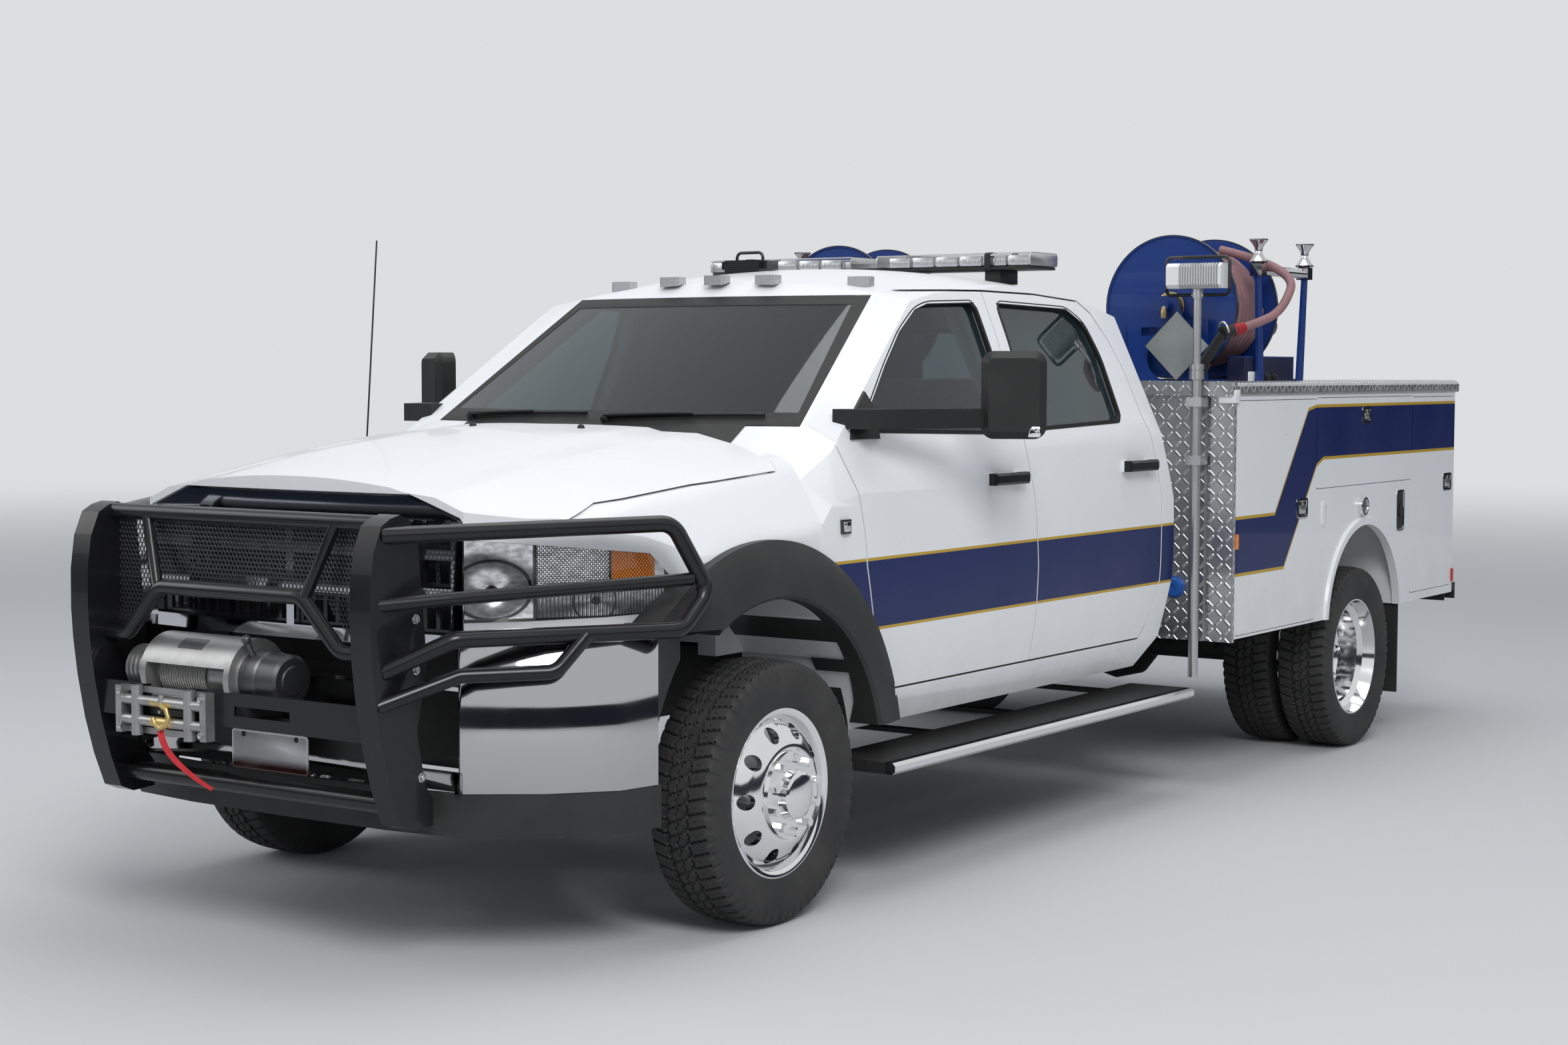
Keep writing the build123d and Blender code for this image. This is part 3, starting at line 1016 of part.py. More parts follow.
STEP_FRONT_Y = 535
STEP_BACK_Y = 2790
STEP_BRACKETS = (1250, 1850, 2600)


def make_seats():
    """Two front seats and a rear bench on the cab floor."""
    floor = CAB_FLOOR_Z + SEAT_GAP
    side = [(0, 175), (40, 158), (480, 168), (500, 200), (640, 640), (620, 860), (560, 870), (470, 640), (420, 300),
            (30, 290)]
    seats = None
    for x0, x1, y, lift in ((200, 760, 1130, 0), (-760, -200, 1130, 0)):
        seat = side_prism([(y + py, floor + pz + lift) for py, pz in side], x0, x1)
        tunnel_side = TUNNEL_HALF + 8 if x0 > 0 else -TUNNEL_HALF - 8
        foot_x = (min(x0 + 40, tunnel_side), x1 - 30) if x0 < 0 else (max(x0 + 40, tunnel_side), x1 - 30)
        if x0 < 0:
            foot_x = (x0 + 30, tunnel_side)
        seat += block(foot_x[0], foot_x[1], y + 60, y + 440, floor, floor + 160)
        seats = seat if seats is None else seats + seat
    bench = side_prism([(BENCH_Y + py, floor + pz) for py, pz in side], -760, 760)
    bench += both_sides(block(TUNNEL_HALF + 8, 740, BENCH_Y + 60, BENCH_Y + 420, floor, floor + 170))
    return seats + (bench & cab_form(CAB_WALL + 5, ROOF_WALL, 90, 70 + 5))


BENCH_Y = 2000


def make_dashboard():
    """The instrument panel across the cab with the steering wheel and its column."""
    face = CAB_FRONT_Y + 90 + SEAT_GAP
    dash = side_prism([(face, 1020), (face, 1380), (420, 1425), (640, 1400), (760, 1330), (790, 1240), (740, 1100),
                       (560, 1020)], -880, 880)
    dash += block(-250, 250, face, 640, 900, 1100)
    dash &= cab_form(CAB_WALL + SEAT_GAP, ROOF_WALL, 90 + SEAT_GAP, 70)
    wheel = Pos(420, 870, 1290) * Rot(-62, 0, 0) * Torus(185, 16)
    hub = Pos(420, 870, 1290) * Rot(-62, 0, 0)
    wheel += hub * Cylinder(52, 40)
    for turn in (90, 210, 330):
        wheel += hub * Rot(0, 0, turn) * Pos(100, 0, 0) * Box(180, 30, 14)
    wheel += rod((420, 870, 1290), (420, 700, 1200), 28)
    return dash + wheel


ROOF_LAMPS = [(0, 1120), (212, 1138), (-212, 1138), (529, 1256), (-529, 1256)]
BAR_HALF = 745
BAR_FRONT_Y = 2110
BAR_BACK_Y = 2330
BAR_BOTTOM_Z = 2068
BAR_HEIGHT = 64
FOOT_X = 560
AERIAL_X = -912
AERIAL_Y = 264


def make_roof_lamps():
    """Five marker lamps and a handled floodlight that sit on the crowned roof."""
    above = above_roof(-SEAT_GAP)
    lamps = None
    for x, y in ROOF_LAMPS:
        top = roof_height(x, y) + 30
        lamp = block(x - 44, x + 44, y - 26, y + 34, top - 90, top)
        lamp = fillet(lamp.edges().filter_by(Axis.Z), 14)
        lamps = lamp if lamps is None else lamps + lamp
    x, y = FLOOD
    z = roof_height(x, y)
    flood = block(x - 80, x + 80, y - 55, y + 55, z - 20, z + 44)
    flood += block(x - 105, x + 105, y - 38, y + 38, z + 10, z + 40)
    handle = bent_tube([(x - 60, y, z + 40), (x - 60, y, z + 74), (x + 60, y, z + 74), (x + 60, y, z + 40)], 20, 6)
    return (lamps + flood + handle) & above


def roof_height(x, y):
    """The roof's height at a point of its plan."""
    along = ROOF_LONG_RADIUS - ROOF_CROSS_RADIUS + math.sqrt(ROOF_CROSS_RADIUS ** 2 - x ** 2)
    return ROOF_TOP_Z - ROOF_LONG_RADIUS + math.sqrt(along ** 2 - (y - ROOF_PEAK_Y) ** 2)


FLOOD = (-189, 1600)


def make_light_bar():
    """The light bar: base, two lens domes and the feet on the roof."""
    bar = block(-BAR_HALF, BAR_HALF, BAR_FRONT_Y, BAR_BACK_Y, BAR_BOTTOM_Z, BAR_BOTTOM_Z + BAR_HEIGHT)
    bar = fillet(bar.edges().filter_by(Axis.Z), 70)
    bar = chamfer(bar.faces().sort_by(Axis.Z)[-1].edges(), 16)
    bar -= block(-60, 60, BAR_FRONT_Y - 1, BAR_BACK_Y + 1, BAR_BOTTOM_Z + 40, BAR_BOTTOM_Z + BAR_HEIGHT + 1)
    feet = both_sides(block(FOOT_X - 34, FOOT_X + 34, BAR_FRONT_Y + 40, BAR_BACK_Y - 40, 1960, BAR_BOTTOM_Z + 2))
    return (bar + feet) & above_roof(-SEAT_GAP)


def make_body_lamps():
    """Aerial, fender lamps, side markers, tail lamps and reflectors."""
    base = rod((AERIAL_X, AERIAL_Y, 1300), (AERIAL_X, AERIAL_Y, 1405), 17)
    base += rod((AERIAL_X, AERIAL_Y, 1400), (AERIAL_X, AERIAL_Y + 60, 2138), 3.2)
    base -= clip_form(-SEAT_GAP)
    side = block(980, 1012, 405, 452, 1166, 1212) - cab_form(-SEAT_GAP, 0, 0, 0)
    marker = block(BODY_HALF + SEAT_GAP, BODY_HALF + 12, 3012, 3034, 970, 1030)
    reflector = block(BODY_HALF + SEAT_GAP, BODY_HALF + 10, 5612, 5628, 660, 722)
    bezel = rod((BODY_HALF + SEAT_GAP, REAR_ARCH_Y - 33, 1083), (BODY_HALF + 16, REAR_ARCH_Y - 33, 1083), 42)
    tail = block(1010, 1150, BODY_BACK_Y + SEAT_GAP, BODY_BACK_Y + 24, 980, 1130)
    tail += block(1010, 1150, BODY_BACK_Y + SEAT_GAP, BODY_BACK_Y + 24, 780, 930)
    return base + both_sides(side + marker + reflector + bezel + tail)


# Body compartments: opening on the side as (front y, back y, bottom z, top z)
FRONT_BOX = (3040, 3868, 613, 1570)
MIDDLE_BOX = (3868, 5040, 1175, 1575)
REAR_BOX = (5040, 5615, 640, 1570)
BODY_BOXES = [("front", FRONT_BOX), ("middle", MIDDLE_BOX), ("rear", REAR_BOX)]
SILL_X = RAIL_OUTER_X - 60
DOOR_SHEET = 22
STOP_WIDTH = 20
WELL_HALF = REAR_ARCH_RADIUS + 6
WELL_TOP_Z = REAR_ARCH_Z + REAR_ARCH_RADIUS + 2


def make_service_body():
    """The hollow side cabinets with their openings, bed floor, bulkhead and wheel houses."""
    half = BODY_HALF
    inner = CABINET_INNER_X
    cabinet = block(inner, half, BODY_FRONT_Y, BODY_BACK_Y, BODY_BOTTOM_Z, BODY_TOP_Z)
    rooms = [(BODY_FRONT_Y + SHEET, FRONT_BOX[1] - SHEET / 2, BODY_BOTTOM_Z + SHEET),
             (FRONT_BOX[1] + SHEET / 2, REAR_BOX[0] - SHEET / 2, WELL_TOP_Z + SHEET),
             (REAR_BOX[0] + SHEET / 2, BODY_BACK_Y - SHEET, BODY_BOTTOM_Z + SHEET)]
    for y0, y1, z0 in rooms:
        cabinet -= block(inner + SHEET, half - DOOR_SHEET - 12, y0, y1, z0, BODY_TOP_Z - SHEET)
    for name, box in BODY_BOXES:
        y0, y1, z0, z1 = box
        gap = LID_GAP / 2
        cabinet -= block(half - DOOR_SHEET - SEAT_GAP, half + 1, y0 + gap, y1 - gap, z0 + gap, z1 - gap)
        cabinet -= block(half - DOOR_SHEET - 20, half + 1, y0 + STOP_WIDTH, y1 - STOP_WIDTH, z0 + STOP_WIDTH,
                         z1 - STOP_WIDTH)
    arch = Pos(0, REAR_ARCH_Y, REAR_ARCH_Z) * Rot(0, 90, 0) * Cylinder(REAR_ARCH_RADIUS, 3000)
    well = block(inner - 1, half + 1, REAR_ARCH_Y - WELL_HALF, REAR_ARCH_Y + WELL_HALF, 500, WELL_TOP_Z)
    skin = block(half - SHEET, half, BODY_FRONT_Y, BODY_BACK_Y, BODY_BOTTOM_Z, WELL_TOP_Z) - arch
    cabinet = cabinet - well + (skin & block(inner, half, REAR_ARCH_Y - WELL_HALF - 2, REAR_ARCH_Y + WELL_HALF + 2,
                                             BODY_BOTTOM_Z, WELL_TOP_Z + 2))
    under = block(inner + SHEET, half - SHEET, FRONT_BOX[1] + SHEET / 2, REAR_ARCH_Y - WELL_HALF - SHEET,
                  BODY_BOTTOM_Z + SHEET, WELL_TOP_Z)
    cabinet -= under
    lip = turned_x([(half - 2, REAR_ARCH_RADIUS), (half + 14, REAR_ARCH_RADIUS), (half + 14, REAR_ARCH_RADIUS + 30),
                    (half - 2, REAR_ARCH_RADIUS + 38)], REAR_ARCH_Y, REAR_ARCH_Z)
    lip &= block(half - 3, half + 30, REAR_ARCH_Y - 600, REAR_ARCH_Y + 600, BODY_BOTTOM_Z, 1200)
    body = both_sides(cabinet + lip)
    body += block(-inner - 1, inner + 1, BODY_FRONT_Y, BODY_BACK_Y, BED_FLOOR_Z - 25, BED_FLOOR_Z)
    body += block(-inner - 1, inner + 1, BODY_FRONT_Y, BODY_FRONT_Y + SHEET, BED_FLOOR_Z - 1, BODY_TOP_Z)
    trunnion_y = BODY_BACK_Y - 4 - TAILGATE_THICKNESS / 2
    trunnion_z = BED_FLOOR_Z + 7 + TAILGATE_THICKNESS / 2
    body -= rod((-inner - SHEET - 1, trunnion_y, trunnion_z), (inner + SHEET + 1, trunnion_y, trunnion_z),
                TRUNNION_RADIUS + HINGE_FIT)
    sill = block(SILL_X - 10, SILL_X + 50, BODY_FRONT_Y + 40, RAIL_BACK_Y - 60, RAIL_TOP_Z + SEAT_GAP, BED_FLOOR_Z - 20)
    return body + both_sides(sill)


def make_compartment_door(box):
    """A left compartment door: its panel, a seal just off the stop and a raised handle."""
    y0, y1, z0, z1 = box
    gap = LID_GAP
    half = BODY_HALF
    panel = block(half - DOOR_SHEET, half, y0 + gap, y1 - gap, z0 + gap, z1 - gap)
    panel = fillet(panel.edges().filter_by(Axis.X), 14)
    panel -= block(half - DOOR_SHEET - 1, half - 5, y0 + 60, y1 - 60, z0 + 60, z1 - 60)
    return panel


LEDGE_INNER_X = 640
LEDGE_OUTER_X = 1197
LEDGE_FRONT_Y = 2968
LEDGE_BACK_Y = 5666
HEADBOARD_BACK_Y = BODY_FRONT_Y - SEAT_GAP
HEADBOARD_FRONT_Y = 2987
HEADBOARD_BOTTOM_Z = 596


def make_tread_plates():
    """The bull-nosed ledges along the cabinets' tops and the headboard in front of them."""
    low = BODY_TOP_Z + SEAT_GAP
    nose = LEDGE_TOP_Z - 14
    ledge = front_prism([(LEDGE_INNER_X, low), (LEDGE_OUTER_X - 3, low), (LEDGE_OUTER_X, low + 8),
                         (LEDGE_OUTER_X, nose - 6), (LEDGE_OUTER_X - 8, nose + 6), (LEDGE_OUTER_X - 22, LEDGE_TOP_Z),
                         (LEDGE_INNER_X, LEDGE_TOP_Z)], LEDGE_FRONT_Y, LEDGE_BACK_Y)
    ledge -= front_prism([(LEDGE_INNER_X + 8, low - 1), (LEDGE_OUTER_X - 14, low - 1), (LEDGE_OUTER_X - 14, nose - 10),
                          (LEDGE_OUTER_X - 30, LEDGE_TOP_Z - 8), (LEDGE_INNER_X + 8, LEDGE_TOP_Z - 8)],
                         BODY_FRONT_Y + 10, LEDGE_BACK_Y - 60)
    ribs = None
    for y in range(3100, 5600, 400):
        rib = block(LEDGE_INNER_X + 4, LEDGE_OUTER_X - 34, y, y + 8, low, LEDGE_TOP_Z - 6)
        ribs = rib if ribs is None else ribs + rib
    board = block(-LEDGE_OUTER_X, LEDGE_OUTER_X, HEADBOARD_FRONT_Y, HEADBOARD_BACK_Y, HEADBOARD_BOTTOM_Z, LEDGE_TOP_Z - 4)
    board -= both_sides(block(1070, 1095, HEADBOARD_FRONT_Y - 1, HEADBOARD_FRONT_Y + 12, 500, 1590))
    board -= block(-RAIL_OUTER_X - 20, RAIL_OUTER_X + 20, 2900, 3100, 500, RAIL_TOP_Z + 20)
    return both_sides(ledge + ribs) + board


def make_rear_bumper():
    """The rear step bumper with its tow receiver and brackets to the frame."""
    bumper = block(-1150, 1150, STEP_FRONT, STEP_BUMPER_BACK_Y, 600, 640)
    bumper += block(-1150, 1150, STEP_BUMPER_BACK_Y - 12, STEP_BUMPER_BACK_Y, 560, 640)
    bumper += block(-1150, 1150, STEP_FRONT, STEP_FRONT + 12, 560, 640)
    bumper += both_sides(block(SILL_X - 6, RAIL_OUTER_X - RAIL_WALL - 1, RAIL_BACK_Y - 40, STEP_FRONT + 6,
                              RAIL_BOTTOM_Z + RAIL_WALL + SEAT_GAP, 640))
    outer = RECEIVER_INSIDE / 2 + RECEIVER_WALL
    tube = block(-outer, outer, RAIL_BACK_Y - 60, STEP_BUMPER_BACK_Y - 5, RECEIVER_Z - outer, RECEIVER_Z + outer)
    cross = block(-RAIL_OUTER_X + RAIL_WIDTH, RAIL_OUTER_X - RAIL_WIDTH, RAIL_BACK_Y - 20, RAIL_BACK_Y + 40,
                  RECEIVER_Z - 26, RECEIVER_Z + 26)
    hanger = both_sides(block(RAIL_OUTER_X - RAIL_WIDTH - 30, RAIL_OUTER_X - RAIL_WIDTH - SEAT_GAP, RAIL_BACK_Y - 20,
                              RAIL_BACK_Y + 40, RECEIVER_Z - 26, RAIL_BOTTOM_Z + 60))
    half = RECEIVER_INSIDE / 2
    bumper += tube + cross + hanger
    bumper -= block(-half, half, RAIL_BACK_Y + 42, STEP_BUMPER_BACK_Y + 5, RECEIVER_Z - half, RECEIVER_Z + half)
    bumper -= rod((-200, HITCH_PIN_Y, RECEIVER_Z), (200, HITCH_PIN_Y, RECEIVER_Z), HITCH_PIN_RADIUS)
    return bumper


STEP_FRONT = 5638
RECEIVER_INSIDE = 51
RECEIVER_WALL = 7
RECEIVER_Z = 500
HITCH_PIN_Y = 5735
HITCH_PIN_RADIUS = 8


def make_tailgate():
    """The tailgate between the cabinets, its foot rounded about the trunnions' line."""
    half = CABINET_INNER_X - LID_GAP
    thick = TAILGATE_THICKNESS
    foot_y = BODY_BACK_Y - 4 - thick / 2
    foot_z = BED_FLOOR_Z + 7 + thick / 2
    gate = block(-half, half, foot_y - thick / 2, foot_y + thick / 2, foot_z, TAILGATE_TOP_Z)
    gate += rod((-half, foot_y, foot_z), (half, foot_y, foot_z), thick / 2)
    gate -= block(-half + 60, half - 60, foot_y + 7, BODY_BACK_Y, BED_FLOOR_Z + 70, TAILGATE_TOP_Z - 60)
    reach = CABINET_INNER_X + SHEET - 2
    gate += rod((-reach, foot_y, foot_z), (reach, foot_y, foot_z), TRUNNION_RADIUS)
    return gate


TAILGATE_THICKNESS = 30
TRUNNION_RADIUS = 9
TAILGATE_TOP_Z = 1420


# Hose reels
REEL_X = 820
REEL_Z = 1948
DISC_RADIUS = 295
FRONT_DISC_Y = 3190
REAR_DISC_Y = 3592
DISC_SHEET = 8
WOUND_RADIUS = 235
CORE_RADIUS = 130
REEL_SHAFT_RADIUS = 20
FRONT_PANEL_Y = 3150
REAR_PANEL_Y = 3630
PANEL_SHEET = 8
FRAME_INNER_X = 643
FRAME_OUTER_X = 1003
FRAME_TOP_Z = 1894
REEL_TURNS = 10
CONTROL_BOX_X = 1041
HOSE_RADIUS = 18
GUIDE_X = 1128
NEAR_SPOOL_Y = 3362
FAR_SPOOL_Y = 3852
GUIDE_Z = 2100
GUIDE_RADIUS = 22
SPOOL_FOOT_Z = 2130
SPOOL_TOP_Z = 2226
PLATE_X = 890
PLATE_Y = 3095
PLATE_Z = 1786
PLATE_HALF_DIAGONAL = 140


def make_reel_frame():
    """The left reel's frame: two cut-out bearing panels, rails, motor and the guide's arms."""
    base = LEDGE_TOP_Z + SEAT_GAP
    panel = [(FRAME_INNER_X, base), (FRAME_OUTER_X, base), (FRAME_OUTER_X, FRAME_TOP_Z), (REEL_X + 75, FRAME_TOP_Z),
             (REEL_X + 42, REEL_Z + 44), (REEL_X - 42, REEL_Z + 44), (REEL_X - 75, FRAME_TOP_Z),
             (FRAME_INNER_X, FRAME_TOP_Z)]
    front = front_prism(panel, FRONT_PANEL_Y, FRONT_PANEL_Y + PANEL_SHEET)
    rear = front_prism(panel, REAR_PANEL_Y, REAR_PANEL_Y + PANEL_SHEET)
    frame = front + rear
    for x in (FRAME_INNER_X + 60, FRAME_OUTER_X - 140):
        frame -= block(x, x + 78, FRONT_PANEL_Y - 1, REAR_PANEL_Y + 20, FRAME_TOP_Z - 66, FRAME_TOP_Z - 30)
    cut = Pos(REEL_X, FRONT_PANEL_Y, FRAME_TOP_Z - 160) * Rot(90, 0, 0) * Cylinder(88, 60)
    frame -= cut
    frame -= rod((REEL_X, FRONT_PANEL_Y - 5, REEL_Z), (REEL_X, REAR_PANEL_Y + 50, REEL_Z),
                 REEL_SHAFT_RADIUS + HINGE_FIT)
    for x in (FRAME_INNER_X, FRAME_OUTER_X - 40):
        frame += block(x, x + 40, FRONT_PANEL_Y, REAR_PANEL_Y + PANEL_SHEET, base, base + 8)
    box = block(CONTROL_BOX_X, GUIDE_X - 12, FRONT_DISC_Y + 67, REAR_PANEL_Y + 147, base, base + 102)
    frame += block(FRAME_OUTER_X - 1, CONTROL_BOX_X + 1, FRONT_DISC_Y + 67, REAR_PANEL_Y, base, base + 8)
    motor = rod((REEL_X + 150, REAR_PANEL_Y + 4, REEL_Z - 70), (REEL_X + 150, REAR_PANEL_Y + 190, REEL_Z - 70), 52)
    frame += box + motor
    for y in (NEAR_SPOOL_Y, FAR_SPOOL_Y):
        lean = 30 if y == NEAR_SPOOL_Y else -40
        arm = side_prism([(y - 30 + lean, base), (y + 30 + lean, base), (y + 22, GUIDE_Z - 26), (y - 22, GUIDE_Z - 26)],
                         GUIDE_X - 6, GUIDE_X + 6)
        frame += arm + block(FRAME_OUTER_X + 60, GUIDE_X + 6, y - 30 + lean, y + 30 + lean, base, base + 8)
    frame += block(FRAME_OUTER_X - 40, FRAME_OUTER_X + 70, REAR_PANEL_Y, FAR_SPOOL_Y, base, base + 8)
    half = PLATE_HALF_DIAGONAL
    plate = [(PLATE_X - half, PLATE_Z), (PLATE_X, PLATE_Z - half), (PLATE_X + half, PLATE_Z), (PLATE_X, PLATE_Z + half)]
    frame += front_prism(plate, PLATE_Y, PLATE_Y + 4)
    frame += rod((PLATE_X, PLATE_Y + 3, PLATE_Z), (PLATE_X, FRONT_PANEL_Y + 1, PLATE_Z), 12)
    return frame


def make_roller_guide():
    """The left guide: a level roller between two blocks, each with an upright waisted spool."""
    guide = rod((GUIDE_X, NEAR_SPOOL_Y, GUIDE_Z), (GUIDE_X, FAR_SPOOL_Y, GUIDE_Z), GUIDE_RADIUS)
    for y in (NEAR_SPOOL_Y, FAR_SPOOL_Y):
        guide += block(GUIDE_X - 26, GUIDE_X + 26, y - 26, y + 26, GUIDE_Z - 26 + SEAT_GAP, SPOOL_FOOT_Z - 4)
        middle = (SPOOL_FOOT_Z + SPOOL_TOP_Z) / 2
        spool = [(0, SPOOL_FOOT_Z - 5), (12, SPOOL_FOOT_Z - 5), (38, SPOOL_FOOT_Z), (38, SPOOL_FOOT_Z + 5),
                 (26, SPOOL_FOOT_Z + 20), (17, middle - 12), (15, middle), (17, middle + 12), (26, SPOOL_TOP_Z - 20),
                 (38, SPOOL_TOP_Z - 5), (38, SPOOL_TOP_Z), (0, SPOOL_TOP_Z)]
        guide += turned_z(spool, GUIDE_X, y)
    return guide


def make_reel():
    """The left reel with its rolled-edge discs, the wound hose between them and its shaft."""
    d0 = FRONT_DISC_Y
    d1 = REAR_DISC_Y
    lip = 7
    points = [(FRONT_PANEL_Y - 36, 0), (FRONT_PANEL_Y - 36, REEL_SHAFT_RADIUS), (d0, REEL_SHAFT_RADIUS),
              (d0, DISC_RADIUS - 12), (d0 - lip, DISC_RADIUS - 8), (d0 - lip, DISC_RADIUS),
              (d0 + DISC_SHEET, DISC_RADIUS), (d0 + DISC_SHEET, WOUND_RADIUS - 6)]
    pitch = (d1 - d0 - DISC_SHEET) / REEL_TURNS
    for turn in range(REEL_TURNS):
        start = d0 + DISC_SHEET + turn * pitch
        points.append((start + pitch * 0.25, WOUND_RADIUS))
        points.append((start + pitch * 0.75, WOUND_RADIUS))
        points.append((start + pitch, WOUND_RADIUS - 6))
    points += [(d1, DISC_RADIUS), (d1 + DISC_SHEET + lip, DISC_RADIUS), (d1 + DISC_SHEET + lip, DISC_RADIUS - 8),
               (d1 + DISC_SHEET, DISC_RADIUS - 12), (d1 + DISC_SHEET, REEL_SHAFT_RADIUS),
               (REAR_PANEL_Y + 30, REEL_SHAFT_RADIUS), (REAR_PANEL_Y + 30, 0)]
    return turned_y(points, REEL_X, REEL_Z)


# Light mast on the headboard's left corner
MAST_X = 1054
MAST_Y = 2936
MAST_TUBE_RADIUS = 20
MAST_INNER_RADIUS = 16
MAST_FIT = 0.3
MAST_BOTTOM_Z = 455
MAST_COLLAR_Z = 1650
MAST_TOP_Z = 1990
MAST_LAP = 940
MAST_CLAMPS = (1327, 1560)
HEAD_BOTTOM_Z = 2012
HEAD_TOP_Z = 2112
HEAD_HALF = 118
GUARD_LOOP_HALF = 136
GUARD_LOOP_LOW_Z = 1986
GUARD_LOOP_TOP_Z = 2136


def make_mast_base():
    """The mast's lower tube with its collars, clamped to the headboard."""
    pole = rod((MAST_X, MAST_Y, MAST_BOTTOM_Z), (MAST_X, MAST_Y, MAST_COLLAR_Z + 2), MAST_TUBE_RADIUS)
    for z0, z1, radius in ((MAST_COLLAR_Z, MAST_COLLAR_Z + 34, 30), (MAST_COLLAR_Z + 33, MAST_COLLAR_Z + 40, 26),
                           (MAST_COLLAR_Z + 39, MAST_COLLAR_Z + 62, 30)):
        pole += rod((MAST_X, MAST_Y, z0), (MAST_X, MAST_Y, z1), radius)
    for z in MAST_CLAMPS:
        pole += block(MAST_X - 34, MAST_X + 34, MAST_Y - 28, HEADBOARD_FRONT_Y - SEAT_GAP, z - 18, z + 18)
    return pole - rod((MAST_X, MAST_Y, MAST_BOTTOM_Z + 12), (MAST_X, MAST_Y, MAST_COLLAR_Z + 80),
                      MAST_INNER_RADIUS + MAST_FIT)


def make_mast_top():
    """The sliding tube with the finned lamp head inside its guard loop."""
    top = rod((MAST_X, MAST_Y, MAST_COLLAR_Z - MAST_LAP), (MAST_X, MAST_Y, MAST_TOP_Z), MAST_INNER_RADIUS)
    top += rod((MAST_X, MAST_Y, MAST_TOP_Z - 16), (MAST_X, MAST_Y, HEAD_BOTTOM_Z + 2), 21)
    head = block(MAST_X - HEAD_HALF, MAST_X + HEAD_HALF, MAST_Y - 46, MAST_Y + 40, HEAD_BOTTOM_Z, HEAD_TOP_Z)
    head = chamfer(head.edges().filter_by(Axis.X), 14)
    for k in range(HEAD_FINS):
        x = MAST_X - 10 + k * 12
        head -= block(x, x + 6, MAST_Y - 50, MAST_Y + 50, HEAD_TOP_Z - 16, HEAD_TOP_Z + 1)
    top += head
    low = GUARD_LOOP_LOW_Z
    high = GUARD_LOOP_TOP_Z
    half = GUARD_LOOP_HALF
    loop = bent_tube([(MAST_X - 4, MAST_Y, low), (MAST_X + half, MAST_Y, low), (MAST_X + half, MAST_Y, high),
                      (MAST_X - half, MAST_Y, high), (MAST_X - half, MAST_Y, low), (MAST_X + 4, MAST_Y, low)], 22, 7)
    return top + loop


HEAD_FINS = 10

# Mirrors: head centre, its size along the swept line, and the arm's root on the door
MIRROR_X = 1273
MIRROR_Y = 1033
MIRROR_BOTTOM_Z = 1458
MIRROR_TOP_Z = 1748
MIRROR_WIDTH = 215
MIRROR_DEPTH = 78
MIRROR_SWEEP = 30


def make_mirror():
    """The left mirror: a tall rounded head on one flat arm from the door's front corner."""
    height = MIRROR_TOP_Z - MIRROR_BOTTOM_Z
    turn = Pos(MIRROR_X, MIRROR_Y, (MIRROR_BOTTOM_Z + MIRROR_TOP_Z) / 2) * Rot(0, 0, MIRROR_SWEEP)
    head = Box(MIRROR_WIDTH, MIRROR_DEPTH, height)
    head = fillet(head.edges().filter_by(Axis.Y), 42)
    head = chamfer(head.faces().sort_by(Axis.Y)[0].edges(), 24)
    head -= Pos(0, MIRROR_DEPTH / 2, 0) * Box(MIRROR_WIDTH - 24, 10, height - 26)
    head = turn * head
    arm_low = MIRROR_BOTTOM_Z + 36
    arm = plan_prism([(870, 556), (1008, 560), (1050, 640), (1190, 950), (1215, 990), (1170, 985), (1140, 968),
                      (1000, 690), (870, 640)], arm_low, arm_low + 64)
    root = cab_form(-8 - SEAT_GAP, 0, 0, 0) - cab_form(-SEAT_GAP, 0, 0, 0)
    root &= side_prism([(560, 1460), (720, 1460), (740, 1568), (700, 1640), (640, 1590)], 800, 1100)
    return head + arm - cab_form(-SEAT_GAP, 0, 0, 0) + root


# The free hose from the left reel over the guide to the nozzle, corner by corner
HOSE_POINTS = [(920, 3450, 2190.6), (1272, 3424, 2107.6), (1262, 3310, 1930), (1186, 3190, 1870),
               (1135, 3090, 1846)]
HOSE_END = HOSE_POINTS[-1]
NOZZLE_TIP = (985, 3074, 1663.3)


def bend_radii(points):
    """Each corner's bend, as large as its shorter straight run takes."""
    radii = []
    for before, corner, after in zip(points, points[1:], points[2:]):
        a = Vector(*before) - Vector(*corner)
        b = Vector(*after) - Vector(*corner)
        half_turn = math.radians(180 - a.get_angle(b)) / 2
        radii.append(0.45 * min(a.length, b.length) / math.tan(half_turn))
    return radii


def make_hose():
    path = FilletPolyline(*HOSE_POINTS, radius=bend_radii(HOSE_POINTS))
    return sweep(Plane(origin=path @ 0, z_dir=path % 0) * Circle(HOSE_RADIUS), path=path)


def make_nozzle():
    """The coupling on the hose's end and the nozzle that leans on the ledge."""
    end = Vector(*HOSE_END)
    run = (end - Vector(*HOSE_POINTS[-2])).normalized()
    face = end + run * SEAT_GAP * 0
    coupling = extrude(Plane(origin=face, z_dir=run) * Circle(27), 52)
    knee = end + run * 44
    tip = Vector(*NOZZLE_TIP)
    body = extrude(Plane(origin=knee, z_dir=tip - knee) * Circle(21), (tip - knee).length - 60)
    barrel_start = tip + (knee - tip).normalized() * 72
    body += extrude(Plane(origin=barrel_start, z_dir=tip - knee) * Circle(30), 72)
    return coupling + body


def make_lamps():
    return make_roof_lamps() + make_body_lamps()


